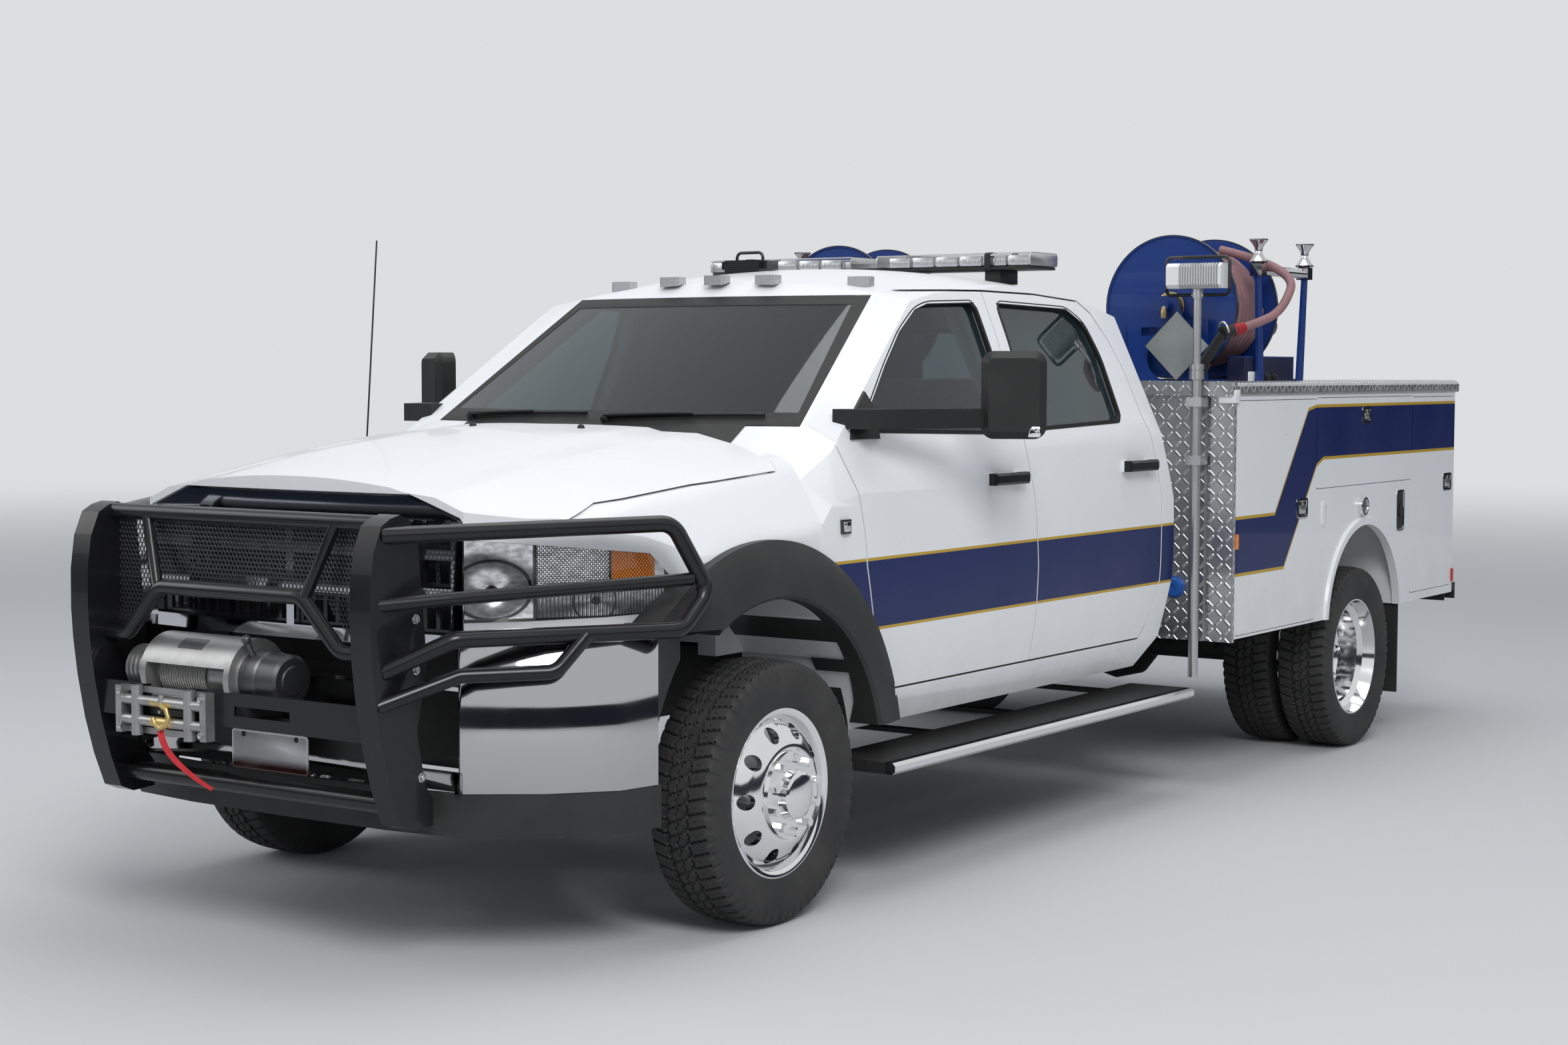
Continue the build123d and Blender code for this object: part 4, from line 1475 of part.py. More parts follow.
def make_nodes():
    """Every finished piece by its name."""
    shell, doors, panes, fixed_glass = make_cab()
    hood, fenders, form = make_clip()
    tray, fairlead = make_winch_tray()
    nodes = {
        "frame_rails": make_frame(),
        "powertrain": make_powertrain(),
        "engine_bay": make_engine_bay(),
        "front_axle": make_front_axle() + make_front_springs(),
        "rear_axle": make_rear_axle() + make_leaf_springs(),
        "fuel_tank": make_fuel_tank(),
        "cab_shell": shell,
        "seats": make_seats(),
        "dashboard": make_dashboard(),
        "fixed_glass": fixed_glass,
        "running_boards": make_running_boards(),
        "fenders": fenders,
        "hood": hood,
        "black_trim": make_black_trim(),
        "grille": make_grille(),
        "headlights": make_headlights(),
        "front_bumper": make_front_bumper(),
        "grille_guard": make_guard() + tray,
        "guard_mesh": make_guard_mesh(),
        "winch": make_winch() + fairlead + make_hook(),
        "light_bar": make_light_bar(),
        "lamps": make_lamps(),
        "service_body": make_service_body(),
        "tread_plates": make_tread_plates(),
        "rear_bumper": make_rear_bumper(),
        "reel_frames": both_sides(make_reel_frame()),
        "roller_guides": both_sides(make_roller_guide()),
        "mast_base": make_mast_base(),
        "mast_top": make_mast_top(),
        "tailgate": make_tailgate(),
        "hose": make_hose(),
        "nozzle": make_nozzle(),
    }
    paired = {
        "front_door": doors["front_left"],
        "rear_door": doors["rear_left"],
        "front_door_glass": panes["front_left"],
        "rear_door_glass": panes["rear_left"],
        "mirror": make_mirror(),
        "knuckle": make_knuckle(),
        "front_rim": make_front_rim(),
        "front_tyre": make_tyre(FRONT_WHEEL_X, 0),
        "rear_rims": make_rear_rims(),
        "rear_tyres": make_twin_tyres(),
        "reel": make_reel(),
    }
    for name, box in BODY_BOXES:
        paired[f"{name}_hatch"] = make_compartment_door(box)
    for name, shape in paired.items():
        nodes[f"left_{name}"] = shape
        nodes[f"right_{name}"] = mirrored(shape)
    return nodes


def make_twin_tyres():
    outer = make_tyre(TWIN_CENTRE_X + TWIN_SPACING / 2, WHEELBASE)
    inner = make_tyre(TWIN_CENTRE_X - TWIN_SPACING / 2, WHEELBASE)
    return outer + inner


os.makedirs("parts", exist_ok=True)
for name, shape in make_nodes().items():
    export_step(Pos(0, -ORIGIN_Y, 0) * shape, f"parts/{name}.step")
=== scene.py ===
import math

import bmesh
import bpy
import numpy as np
from mathutils import Matrix, Vector
from mathutils.bvhtree import BVHTree


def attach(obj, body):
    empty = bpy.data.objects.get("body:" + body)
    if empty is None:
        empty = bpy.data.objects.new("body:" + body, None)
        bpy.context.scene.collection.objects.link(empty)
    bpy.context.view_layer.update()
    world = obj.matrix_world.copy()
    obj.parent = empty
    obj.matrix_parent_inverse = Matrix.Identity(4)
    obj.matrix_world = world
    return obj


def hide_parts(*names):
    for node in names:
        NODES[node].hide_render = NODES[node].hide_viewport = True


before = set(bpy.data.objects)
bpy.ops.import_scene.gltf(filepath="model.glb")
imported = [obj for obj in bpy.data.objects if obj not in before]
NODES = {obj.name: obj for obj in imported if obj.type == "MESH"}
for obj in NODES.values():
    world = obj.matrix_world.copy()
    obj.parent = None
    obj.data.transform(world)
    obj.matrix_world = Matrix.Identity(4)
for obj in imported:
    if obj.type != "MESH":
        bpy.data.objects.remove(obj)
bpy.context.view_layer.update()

# Lengths of shapes are in millimetres from the middle of the front axle on the ground, as on the drawing
ORIGIN_Y = 2251.0
SIDES = (("left", 1), ("right", -1))


def at(x, y, z):
    """A point of the drawing as metres in the row frame."""
    return Vector((x / 1000, (y - ORIGIN_Y) / 1000, z / 1000))


def placed(name, data):
    """A new object in the scene."""
    obj = bpy.data.objects.new(name, data)
    bpy.context.scene.collection.objects.link(obj)
    return obj


# Camera, as solved from the photograph
AZIMUTH, PITCH, ROLL = math.radians(34.25), math.radians(-3.6), math.radians(0.15)
CAMERA_AT = Vector((5.150, -8.257, 1.683))
FOCAL_PIXELS, IMAGE_WIDTH, SENSOR = 3634.2, 2352, 36
ahead = Vector((-math.sin(AZIMUTH) * math.cos(PITCH), math.cos(AZIMUTH) * math.cos(PITCH), math.sin(PITCH)))
flat = Vector((math.cos(AZIMUTH), math.sin(AZIMUTH), 0))
up = flat.cross(ahead)
right = math.cos(ROLL) * flat + math.sin(ROLL) * up
above = -math.sin(ROLL) * flat + math.cos(ROLL) * up
camera = placed("camera", bpy.data.cameras.new("camera"))
camera.data.sensor_width = SENSOR
camera.data.lens = FOCAL_PIXELS * SENSOR / IMAGE_WIDTH
camera.data.clip_end = 200
camera.matrix_world = Matrix.Translation(CAMERA_AT) @ Matrix((right, above, -ahead)).transposed().to_4x4()
bpy.context.scene.camera = camera


def cleared(owner):
    """The empty node tree of a new material or world."""
    owner.use_nodes = True
    owner.node_tree.nodes.clear()
    return owner.node_tree


def node(tree, kind, inputs=(), **settings):
    """A new node, with its settings, and values or links on its first inputs."""
    made = tree.nodes.new(kind)
    for key, value in settings.items():
        setattr(made, key, value)
    for value, socket in zip(inputs, made.inputs):
        put(tree, value, socket)
    return made


def put(tree, value, socket):
    """Sets an input, or links it; three numbers on a colour are opaque."""
    value = getattr(value, "socket", value)
    if isinstance(value, bpy.types.NodeSocket):
        tree.links.new(value, socket)
    else:
        socket.default_value = (*value, 1) if socket.type == "RGBA" and len(value) == 3 else value


# Mesh building
class Shape:
    """Vertices and faces of one joined mesh, in drawing millimetres."""

    def __init__(self):
        self.v = []
        self.f = []

    def add(self, points, faces):
        start = len(self.v)
        self.v += [tuple(p) for p in points]
        self.f += [tuple(i + start for i in face) for face in faces]
        return self

    def join(self, other):
        return self.add(other.v, other.f)

    def box(self, x0, x1, y0, y1, z0, z1):
        points = [(x, y, z) for x in (x0, x1) for y in (y0, y1) for z in (z0, z1)]
        faces = [(0, 1, 3, 2), (4, 6, 7, 5), (0, 4, 5, 1), (2, 3, 7, 6), (0, 2, 6, 4), (1, 5, 7, 3)]
        return self.add(points, faces)

    def grid(self, rows, closed=False, around=False, cap=False):
        """Rows of points joined by squares; around joins each row's ends, closed the outer rows."""
        n = len(rows[0])
        faces = []
        for i in range(len(rows) if closed else len(rows) - 1):
            m = (i + 1) % len(rows)
            for k in range(n if around else n - 1):
                j = (k + 1) % n
                faces.append((i * n + k, i * n + j, m * n + j, m * n + k))
        if cap:
            last = (len(rows) - 1) * n
            faces += [tuple(range(n - 1, -1, -1)), tuple(range(last, last + n))]
        return self.add([p for row in rows for p in row], faces)

    def turned(self, origin, axis, profile, sides=32, cap=True):
        """A profile of (distance along the axis, radius) turned about it."""
        axis = Vector(axis).normalized()
        side = axis.orthogonal().normalized()
        other = axis.cross(side)
        rows = []
        for along, radius in profile:
            angles = [2 * math.pi * k / sides for k in range(sides)]
            rows.append([Vector(origin) + axis * along + (side * math.cos(a) + other * math.sin(a)) * radius
                         for a in angles])
        return self.grid(rows, around=True, cap=cap)

    def rod(self, start, end, radius, sides=16):
        start, end = Vector(start), Vector(end)
        return self.turned(start, end - start, [(0, radius), ((end - start).length, radius)], sides)

    def tube(self, points, radius, sides=12):
        """A round tube along the points, of one radius or of one for each point."""
        points = [Vector(p) for p in points]
        angles = [2 * math.pi * k / sides for k in range(sides)]
        rows = []
        normal = None
        for i, p in enumerate(points):
            along = (points[min(i + 1, len(points) - 1)] - points[max(i - 1, 0)]).normalized()
            if normal is None:
                normal = along.orthogonal().normalized()
            normal = (normal - along * normal.dot(along)).normalized()
            other = along.cross(normal)
            size = radius[i] if hasattr(radius, "__len__") else radius
            rows.append([p + (normal * math.cos(a) + other * math.sin(a)) * size for a in angles])
        return self.grid(rows, around=True, cap=True)

    def prism(self, outline, direction):
        """A closed outline of 3-D points pushed along a direction."""
        direction = Vector(direction)
        n = len(outline)
        points = [Vector(p) for p in outline] + [Vector(p) + direction for p in outline]
        faces = [tuple(range(n - 1, -1, -1)), tuple(range(n, 2 * n))]
        faces += [(i, (i + 1) % n, n + (i + 1) % n, n + i) for i in range(n)]
        return self.add(points, faces)

    def side(self, outline, x0, x1):
        return self.prism([(x0, y, z) for y, z in outline], (x1 - x0, 0, 0))

    def front(self, outline, y0, y1):
        return self.prism([(x, y0, z) for x, z in outline], (0, y1 - y0, 0))

    def sleeve(self, outline, x0, x1, thick):
        """A thin wall along an outline that faces sideways."""
        levels = ((x0, 0), (x1, 0), (x1, -thick), (x0, -thick))
        return self.grid(rings(outline, levels), closed=True, around=True)

    def flipped(self):
        """The same shape on the other side of the truck."""
        other = Shape()
        other.v = [(-x, y, z) for x, y, z in self.v]
        other.f = [tuple(reversed(face)) for face in self.f]
        return other

    def for_side(self, sign):
        return self if sign > 0 else self.flipped()

    def mirror(self):
        """The same again on the other side of the truck."""
        return self.join(self.flipped())

    def moved(self, move, turn=Matrix.Identity(4)):
        matrix = Matrix.Translation(Vector(move)) @ turn
        self.v = [tuple(matrix @ Vector(p)) for p in self.v]
        return self


def corners(a0, a1, b0, b1):
    return [(a0, b0), (a1, b0), (a1, b1), (a0, b1)]


def rounded(points, radius, steps=5):
    """A closed outline with its corners rounded."""
    out = []
    n = len(points)
    for i in range(n):
        p, a, b = Vector(points[i]), Vector(points[i - 1]), Vector(points[(i + 1) % n])
        r = min(radius, (p - a).length * 0.45, (p - b).length * 0.45)
        start = p + (a - p).normalized() * r
        end = p + (b - p).normalized() * r
        for k in range(steps + 1):
            t = k / steps
            out.append(start * (1 - t) ** 2 + p * 2 * t * (1 - t) + end * t ** 2)
    return out


def outward(points, amount):
    """A closed 2-D outline moved outward."""
    n = len(points)
    area = sum(a[0] * b[1] - b[0] * a[1] for a, b in zip(points, [*points[1:], points[0]]))
    sign = 1 if area > 0 else -1
    out = []
    for i in range(n):
        t = (Vector(points[(i + 1) % n]) - Vector(points[i - 1])).normalized()
        out.append(Vector(points[i]) + Vector((t.y, -t.x)) * sign * amount)
    return out


def rings(outline, levels, front=False):
    """The outline at each level, moved outward by an amount; it faces sideways, or the front."""
    rows = []
    for level, amount in levels:
        line = outward(outline, amount) if amount else outline
        rows.append([(a, level, b) if front else (level, a, b) for a, b in line])
    return rows


def smooth_by_angle(obj, degrees=32):
    """Rounds shading over gentle edges and keeps sharp ones, by a small node group."""
    name = f"soften_{degrees}"
    group = bpy.data.node_groups.get(name)
    if group is None:
        group = bpy.data.node_groups.new(name, "GeometryNodeTree")
        for way in ("INPUT", "OUTPUT"):
            group.interface.new_socket("Geometry", in_out=way, socket_type="NodeSocketGeometry")
        start, drop, merge, faces, edges, angle, over, end = (group.nodes.new(kind) for kind in (
            "NodeGroupInput", "GeometryNodeRemoveAttribute", "GeometryNodeMergeByDistance",
            "GeometryNodeSetShadeSmooth", "GeometryNodeSetShadeSmooth", "GeometryNodeInputMeshEdgeAngle",
            "FunctionNodeCompare", "NodeGroupOutput"))
        drop.inputs["Name"].default_value = "custom_normal"
        merge.inputs["Distance"].default_value = 0.00002
        faces.domain = "FACE"
        edges.domain = "EDGE"
        edges.inputs["Shade Smooth"].default_value = False
        over.data_type = "FLOAT"
        over.operation = "GREATER_THAN"
        over.inputs[1].default_value = math.radians(degrees)
        link = group.links.new
        for source, target in ((start, drop), (drop, merge), (merge, faces), (faces, edges)):
            link(source.outputs[0], target.inputs["Geometry"])
        link(angle.outputs["Unsigned Angle"], over.inputs[0])
        link(over.outputs[0], edges.inputs["Selection"])
        link(edges.outputs[0], end.inputs[0])
    obj.modifiers.new("soften", "NODES").node_group = group


def piece(name, shape, stuff, body, bevel=0.0, angle=32, subdivide=0):
    """The shape as an object that rides on a body."""
    mesh = bpy.data.meshes.new(name)
    mesh.from_pydata([at(*p) for p in shape.v], [], shape.f)
    mesh.validate()
    work = bmesh.new()
    work.from_mesh(mesh)
    bmesh.ops.recalc_face_normals(work, faces=work.faces)
    work.to_mesh(mesh)
    work.free()
    mesh.update()
    obj = placed(name, mesh)
    mesh.materials.append(stuff)
    if bevel:
        edge = obj.modifiers.new("edge", "BEVEL")
        edge.width = bevel / 1000
        edge.segments = 2
        edge.limit_method = "ANGLE"
        edge.angle_limit = math.radians(40)
    if subdivide:
        sub = obj.modifiers.new("round", "SUBSURF")
        sub.levels = sub.render_levels = subdivide
    smooth_by_angle(obj, angle)
    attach(obj, body)
    return obj


# Materials, with places in metres of the drawing
class Field:
    """A value that varies over a surface, as a node's output, with arithmetic; & and | join masks."""

    def __init__(self, look, socket):
        self.look = look
        self.socket = socket

    def __rsub__(self, other):
        return self.look.math("SUBTRACT", other, self)

    def __abs__(self):
        return self.look.math("ABSOLUTE", self)

    def sine(self, rate):
        return self.look.math("SINE", self * rate)

    def between(self, low, high):
        """1 between low and high, 0 outside."""
        return (self > low) & (self < high)

    def ramp(self, a, b, low=0.0, high=1.0):
        """low up to a, high from b, straight between."""
        return self.look.fed("ShaderNodeMapRange", (self, a, b, low, high))


def add_operator(name, operation):
    setattr(Field, f"__{name}__", lambda self, other: self.look.math(operation, self, other))


for pair in (("add", "ADD"), ("sub", "SUBTRACT"), ("mul", "MULTIPLY"), ("and", "MULTIPLY"), ("or", "MAXIMUM"),
             ("gt", "GREATER_THAN"), ("lt", "LESS_THAN")):
    add_operator(*pair)


class Look:
    """A node material with short names for what it uses most."""

    def __init__(self, name, color, rough=0.5, metal=0.0, **constants):
        self.material = bpy.data.materials.new(name)
        self.tree = cleared(self.material)
        self.shader = node(self.tree, "ShaderNodeBsdfPrincipled")
        node(self.tree, "ShaderNodeOutputMaterial", (self.shader.outputs[0],))
        for key, value in {"Base_Color": color, "Roughness": rough, "Metallic": metal, **constants}.items():
            self.set(key.replace("_", " "), value)
        place = node(self.tree, "ShaderNodeTexCoord")
        self.place = place.outputs["Object"]
        self.x, self.y, self.z = self.split(self.place)
        self.nx, self.ny, self.nz = self.split(place.outputs["Normal"])
        self.along = self.y + ORIGIN_Y / 1000
        self.out_x = abs(self.x)

    def split(self, socket):
        return [Field(self, output) for output in node(self.tree, "ShaderNodeSeparateXYZ", (socket,)).outputs]

    def set(self, name, value):
        put(self.tree, value, self.shader.inputs[name])

    def fed(self, kind, values, **settings):
        """A node's first output, with these values on its first inputs."""
        return Field(self, node(self.tree, kind, values, **settings).outputs[0])

    def math(self, operation, *values):
        return self.fed("ShaderNodeMath", values, operation=operation)

    def within(self, x0, x1, y0, y1, z0, z1):
        """1 in a box of the drawing, with x as the distance from the middle."""
        return self.out_x.between(x0, x1) & self.along.between(y0, y1) & self.z.between(z0, z1)

    def texture(self, kind, stretch, **values):
        where = node(self.tree, "ShaderNodeMapping", (self.place,))
        where.inputs["Scale"].default_value = stretch
        made = node(self.tree, kind, (where.outputs[0],))
        for key, value in values.items():
            made.inputs[key].default_value = value
        return Field(self, made.outputs[0])

    def noise(self, scale, detail=3.0, rough=0.5, stretch=(1, 1, 1)):
        return self.texture("ShaderNodeTexNoise", stretch, Scale=scale, Detail=detail, Roughness=rough)

    def cells(self, scale, random):
        return self.texture("ShaderNodeTexVoronoi", (1, 1, 1), Scale=scale, Randomness=random)

    def mix(self, amount, a, b):
        made = node(self.tree, "ShaderNodeMix", data_type="RGBA")
        for value, place in ((amount, 0), (a, 6), (b, 7)):
            put(self.tree, value, made.inputs[place])
        return Field(self, made.outputs[2])

    def worn(self, base, tone, amount, scale, detail=3.0, start=0.35, end=0.75, rough=0.5):
        """The base colour, going over to another tone in uneven spots."""
        return self.mix(self.noise(scale, detail, rough).ramp(start, end, 0, amount), base, tone)

    def paint(self, value):
        self.set("Base Color", value)

    def gloss(self, value, low, high):
        """Roughness from low to high by a 0 to 1 value."""
        self.set("Roughness", value.ramp(0.3, 0.7, low, high))

    def bump(self, height, strength, distance):
        """A bump over those the material already has."""
        made = node(self.tree, "ShaderNodeBump")
        normal = self.shader.inputs["Normal"]
        values = {"Strength": strength, "Distance": distance, "Height": height}
        if normal.links:
            values["Normal"] = normal.links[0].from_socket
        for key, value in values.items():
            put(self.tree, value, made.inputs[key])
        self.tree.links.new(made.outputs[0], normal)


WHITE = (0.80, 0.81, 0.82)
NAVY = (0.006, 0.016, 0.100)
GOLD = (0.52, 0.33, 0.035)
BLUE = (0.008, 0.036, 0.190)
CHROME = (0.62, 0.64, 0.68)
STEEL = (0.80, 0.80, 0.81)
SILVER = (0.42, 0.42, 0.42)


def grey(tone, blue=1.0):
    return tone, tone, tone * blue


def dirty(look, base, low=0.35, high=0.9):
    """Road dust over the lower part."""
    spots = look.noise(7, 6, 0.65).ramp(0.35, 0.75, 0.25, 1)
    return look.mix(look.z.ramp(low, high, 1, 0) * spots * 0.30, base, (0.30, 0.27, 0.23))


def painted(name, color, coat=0.2, rough=0.3, shine=0.25):
    look = Look(name, color, rough, 0.0, Coat_Weight=coat, Coat_Roughness=0.03, Specular_IOR_Level=shine)
    look.gloss(look.noise(3, 4), rough - 0.06, rough + 0.08)
    look.bump(look.noise(900, 2), 0.03, 0.0004)
    return look


def striped_cab():
    """White with the cab's straight stripe, dark door grips, and painted shade in near-black on its undersides
    and low inner faces.
    """
    look = painted("cab_white", WHITE)
    faces_out = (look.math("SIGN", look.x) * look.nx) > 0.5
    side = (look.out_x > 0.90) & faces_out & (look.along > 0.29)
    base = look.mix(look.z.between(0.842, 1.080) & side, dirty(look, WHITE), GOLD)
    base = look.mix(look.z.between(0.852, 1.070) & side, base, NAVY)
    skin_x = 1.0065
    grips = look.within(skin_x, 1.1, 1.33, 1.61, 1.27, 1.35) | look.within(skin_x, 1.1, 2.38, 2.66, 1.28, 1.36)
    # Painted shade: near-black on faces turned down below 0.9 m and on inner faces below 0.66 m, where shade
    # falls under the cab.
    painted_underside_shade = ((look.nz < -0.7) & (look.z < 0.9)) | ((look.z < 0.66) & (look.out_x < 0.93))
    base = look.mix(painted_underside_shade, base, grey(0.03))
    look.paint(look.mix(grips, base, (0.012, 0.012, 0.013)))
    return look.material


def striped_body():
    """White with the service body's stripe, which climbs from the cab's height to the top."""
    look = painted("body_white", WHITE)
    low = look.along.ramp(3.524, 3.871, 0.857, 1.275) + look.along.ramp(3.871, 3.950, 0, 0.028)
    high = look.along.ramp(3.423, 3.771, 1.100, 1.528) + look.along.ramp(3.771, 3.860, 0, 0.014)
    side = look.out_x > 1.17
    edge = 0.013
    outer = side & (look.z > low) & (look.z < high)
    core = side & (look.z > low + edge) & (look.z < high - edge)
    base = look.mix(outer, dirty(look, WHITE, 0.5, 1.0), GOLD)
    look.paint(look.mix(core, base, NAVY))
    return look.material


def diamond_plate():
    """Bright plate with raised bars in crossed pairs, the bars coloured lighter as a painted highlight."""
    look = Look("tread_plate", (0.60, 0.61, 0.62), 0.3, 0.9)
    level = abs(look.nz) > 0.7
    bar_pitch = 0.075
    rate = 1 / bar_pitch
    u = (look.x + look.y) * rate
    v = look.z + level * (look.x - look.y)
    bars = []
    for sign, shift in ((1, 0.0), (-1, 0.5)):
        long, short = (abs(look.math("FRACT", way + shift) - 0.5) for way in (u + v * (sign * rate),
                                                                              u - v * (sign * rate)))
        bars.append(long.ramp(0.04, 0.10, 1, 0) * short.ramp(0.26, 0.34, 1, 0))
    height = bars[0] | bars[1]
    look.bump(height, 1.0, 0.0024)
    look.gloss(look.noise(5, 5), 0.24, 0.40)
    base = look.worn((0.50, 0.51, 0.52), grey(0.30), 0.5, 9, 6, end=0.8)
    # Painted highlight: the raised bars are coloured lighter than the plate, as if they catch the light.
    look.paint(look.mix(height, base, grey(0.72)))
    return look.material


def chromed(name, tone, rough=0.05):
    look = Look(name, grey(tone, 1.01), rough, 1.0)
    look.gloss(look.noise(6, 5), rough, rough + 0.05)
    look.bump(look.noise(3.5, 2), 0.04, 0.01)
    return look.material


def plain(name, color, rough, metal, wear, height, strength, distance, **constants):
    """Uneven tone, as worn takes it, and a fine bump; a height of two numbers is a noise."""
    look = Look(name, color, rough, metal, **constants)
    look.paint(look.worn(*wear))
    look.bump(height(look) if callable(height) else look.noise(*height), strength, distance)
    return look.material


def black_plastic(name, tone=0.018, rough=0.45):
    wear = (grey(tone), (tone * 2.0, tone * 2.0, tone * 1.95), 0.5, 5, 6, 0.4, 0.8)
    return plain(name, grey(tone, 1.03), rough, 0, wear, (1400, 2), 0.12, 0.0004, Specular_IOR_Level=0.3)


def cast(name, tone, rough=0.55, metal=0.6):
    wear = (grey(tone), (tone * 0.5, tone * 0.48, tone * 0.45), 0.5, 14, 3, 0.3)
    return plain(name, grey(tone), rough, metal, wear, (260, 4), 0.3, 0.0008)


def clear(name, color, rough=0.02):
    look = Look(name, color, rough, 0, Transmission_Weight=1.0, IOR=1.45)
    look.bump(look.noise(4, 1), 0.01, 0.002)
    return look.material


def reel_blue():
    """Blue flanges with dark rims."""
    look = painted("blue_paint", BLUE, 0.35, 0.35, 0.3)
    across, rise = look.out_x - 0.820, look.z - 1.948
    from_axis = look.math("SQRT", across * across + rise * rise)
    base = look.worn(BLUE, (0.02, 0.06, 0.22), 0.3, 5, 5, 0.4, 0.8)
    look.paint(look.mix(from_axis > 0.2905, base, (0.012, 0.013, 0.02)))
    return look.material


def winch_metal():
    """Cast grey, with a darker gear housing and a brassy hook."""
    look = Look("winch_silver", SILVER, 0.38, 0.75)
    look.bump(look.noise(260, 4), 0.3, 0.0008)
    hook = look.x.between(-0.285, -0.195) & look.z.between(0.600, 0.722) & (look.along < -1.2605)
    gear = look.x.between(0.028, 0.17) & (look.z > 0.684)
    base = look.worn(SILVER, (0.21, 0.20, 0.19), 0.5, 14, 4, 0.3)
    base = look.mix(gear, base, (0.10, 0.10, 0.105))
    look.paint(look.mix(hook, base, (0.60, 0.46, 0.20)))
    return look.material


def lamp_colors():
    """Small lamps of one node, each in its own colour by its place, with painted glints going from a lit to a
    dim tone over the lens facets.
    """
    look = Look("small_lamps", grey(0.02), 0.18, 0, Coat_Weight=0.6, Coat_Roughness=0.03)
    cells = look.cells(130, 0.2)
    painted_facet_glints = cells.ramp(0.0, 0.7, 0, 0.5)
    shade = (0.015, 0.015, 0.016)
    for place, lit, dim in (((1.1, 1.3, 3.0, 3.05, 0.9, 1.1), (0.90, 0.28, 0.01), (0.50, 0.12, 0.005)),
                            ((0, 0.60, 1.08, 1.32, 1.9, 2.2), (0.50, 0.51, 0.52), (0.16, 0.16, 0.17)),
                            ((1.0, 1.3, 5.60, 5.70, 0.6, 1.2), (0.60, 0.012, 0.012), (0.28, 0.006, 0.006))):
        # Painted glints: each lens goes between its lit and dim tone cell by cell over the facets.
        shade = look.mix(look.within(*place), shade, look.mix(painted_facet_glints, lit, dim))
    bright = look.within(1.1, 1.3, 4.34, 4.46, 1.0, 1.2)
    look.paint(look.mix(bright, shade, STEEL))
    look.set("Metallic", bright)
    look.bump(cells, 0.25, 0.001)
    return look.material


def grille_chrome():
    """Chrome bars in front, turning bluer towards the top as a painted sky reflection, and dark mesh set back
    behind them.
    """
    look = Look("grille_chrome", CHROME, 0.07, 1.0)
    face = look.out_x.ramp(0, 0.33, -1.000, -0.990) + look.out_x.ramp(0.33, 0.64, 0, 0.028)
    face = face + look.z.ramp(1.24, 1.33, 0, 0.05)
    deep = (look.along - face) > 0.020
    # Painted reflection: the chrome goes bluer towards the top, standing in for the sky seen in it.
    bars = look.mix(look.z.ramp(1.27, 1.34), CHROME, (0.26, 0.33, 0.46))
    look.paint(look.mix(deep, bars, (0.012, 0.012, 0.014)))
    look.set("Metallic", 1.0 - deep)
    return look.material


def frame_parts():
    """The reels' blue frames, with the bare plate and the dark control boxes."""
    look = painted("reel_frame_blue", BLUE, 0.35, 0.35, 0.3)
    plate = look.along.between(3.080, 3.1005) & look.out_x.between(0.6, 1.1)
    box = look.within(1.035, 1.12, 3.25, 3.80, 1.60, 1.74)
    base = look.mix(box, BLUE, (0.012, 0.016, 0.045))
    bare = look.worn((0.42, 0.44, 0.42), (0.28, 0.30, 0.29), 0.6, 11, 5, 0.3)
    look.paint(look.mix(plate, base, bare))
    look.set("Metallic", plate * 0.6)
    return look.material


def board_look():
    """Black step tread with a bright outer edge."""
    look = Look("step_board", grey(0.02), 0.3)
    edge = look.out_x > 1.0905
    knobs = look.x.sine(700).ramp(0.0, 0.5) * look.y.sine(420).ramp(0, 0.6)
    look.bump(knobs * (1.0 - edge), 0.8, 0.002)
    look.paint(look.mix(edge, grey(0.018), STEEL))
    look.set("Metallic", edge)
    look.set("Roughness", edge.ramp(0, 1, 0.6, 0.12))
    return look.material


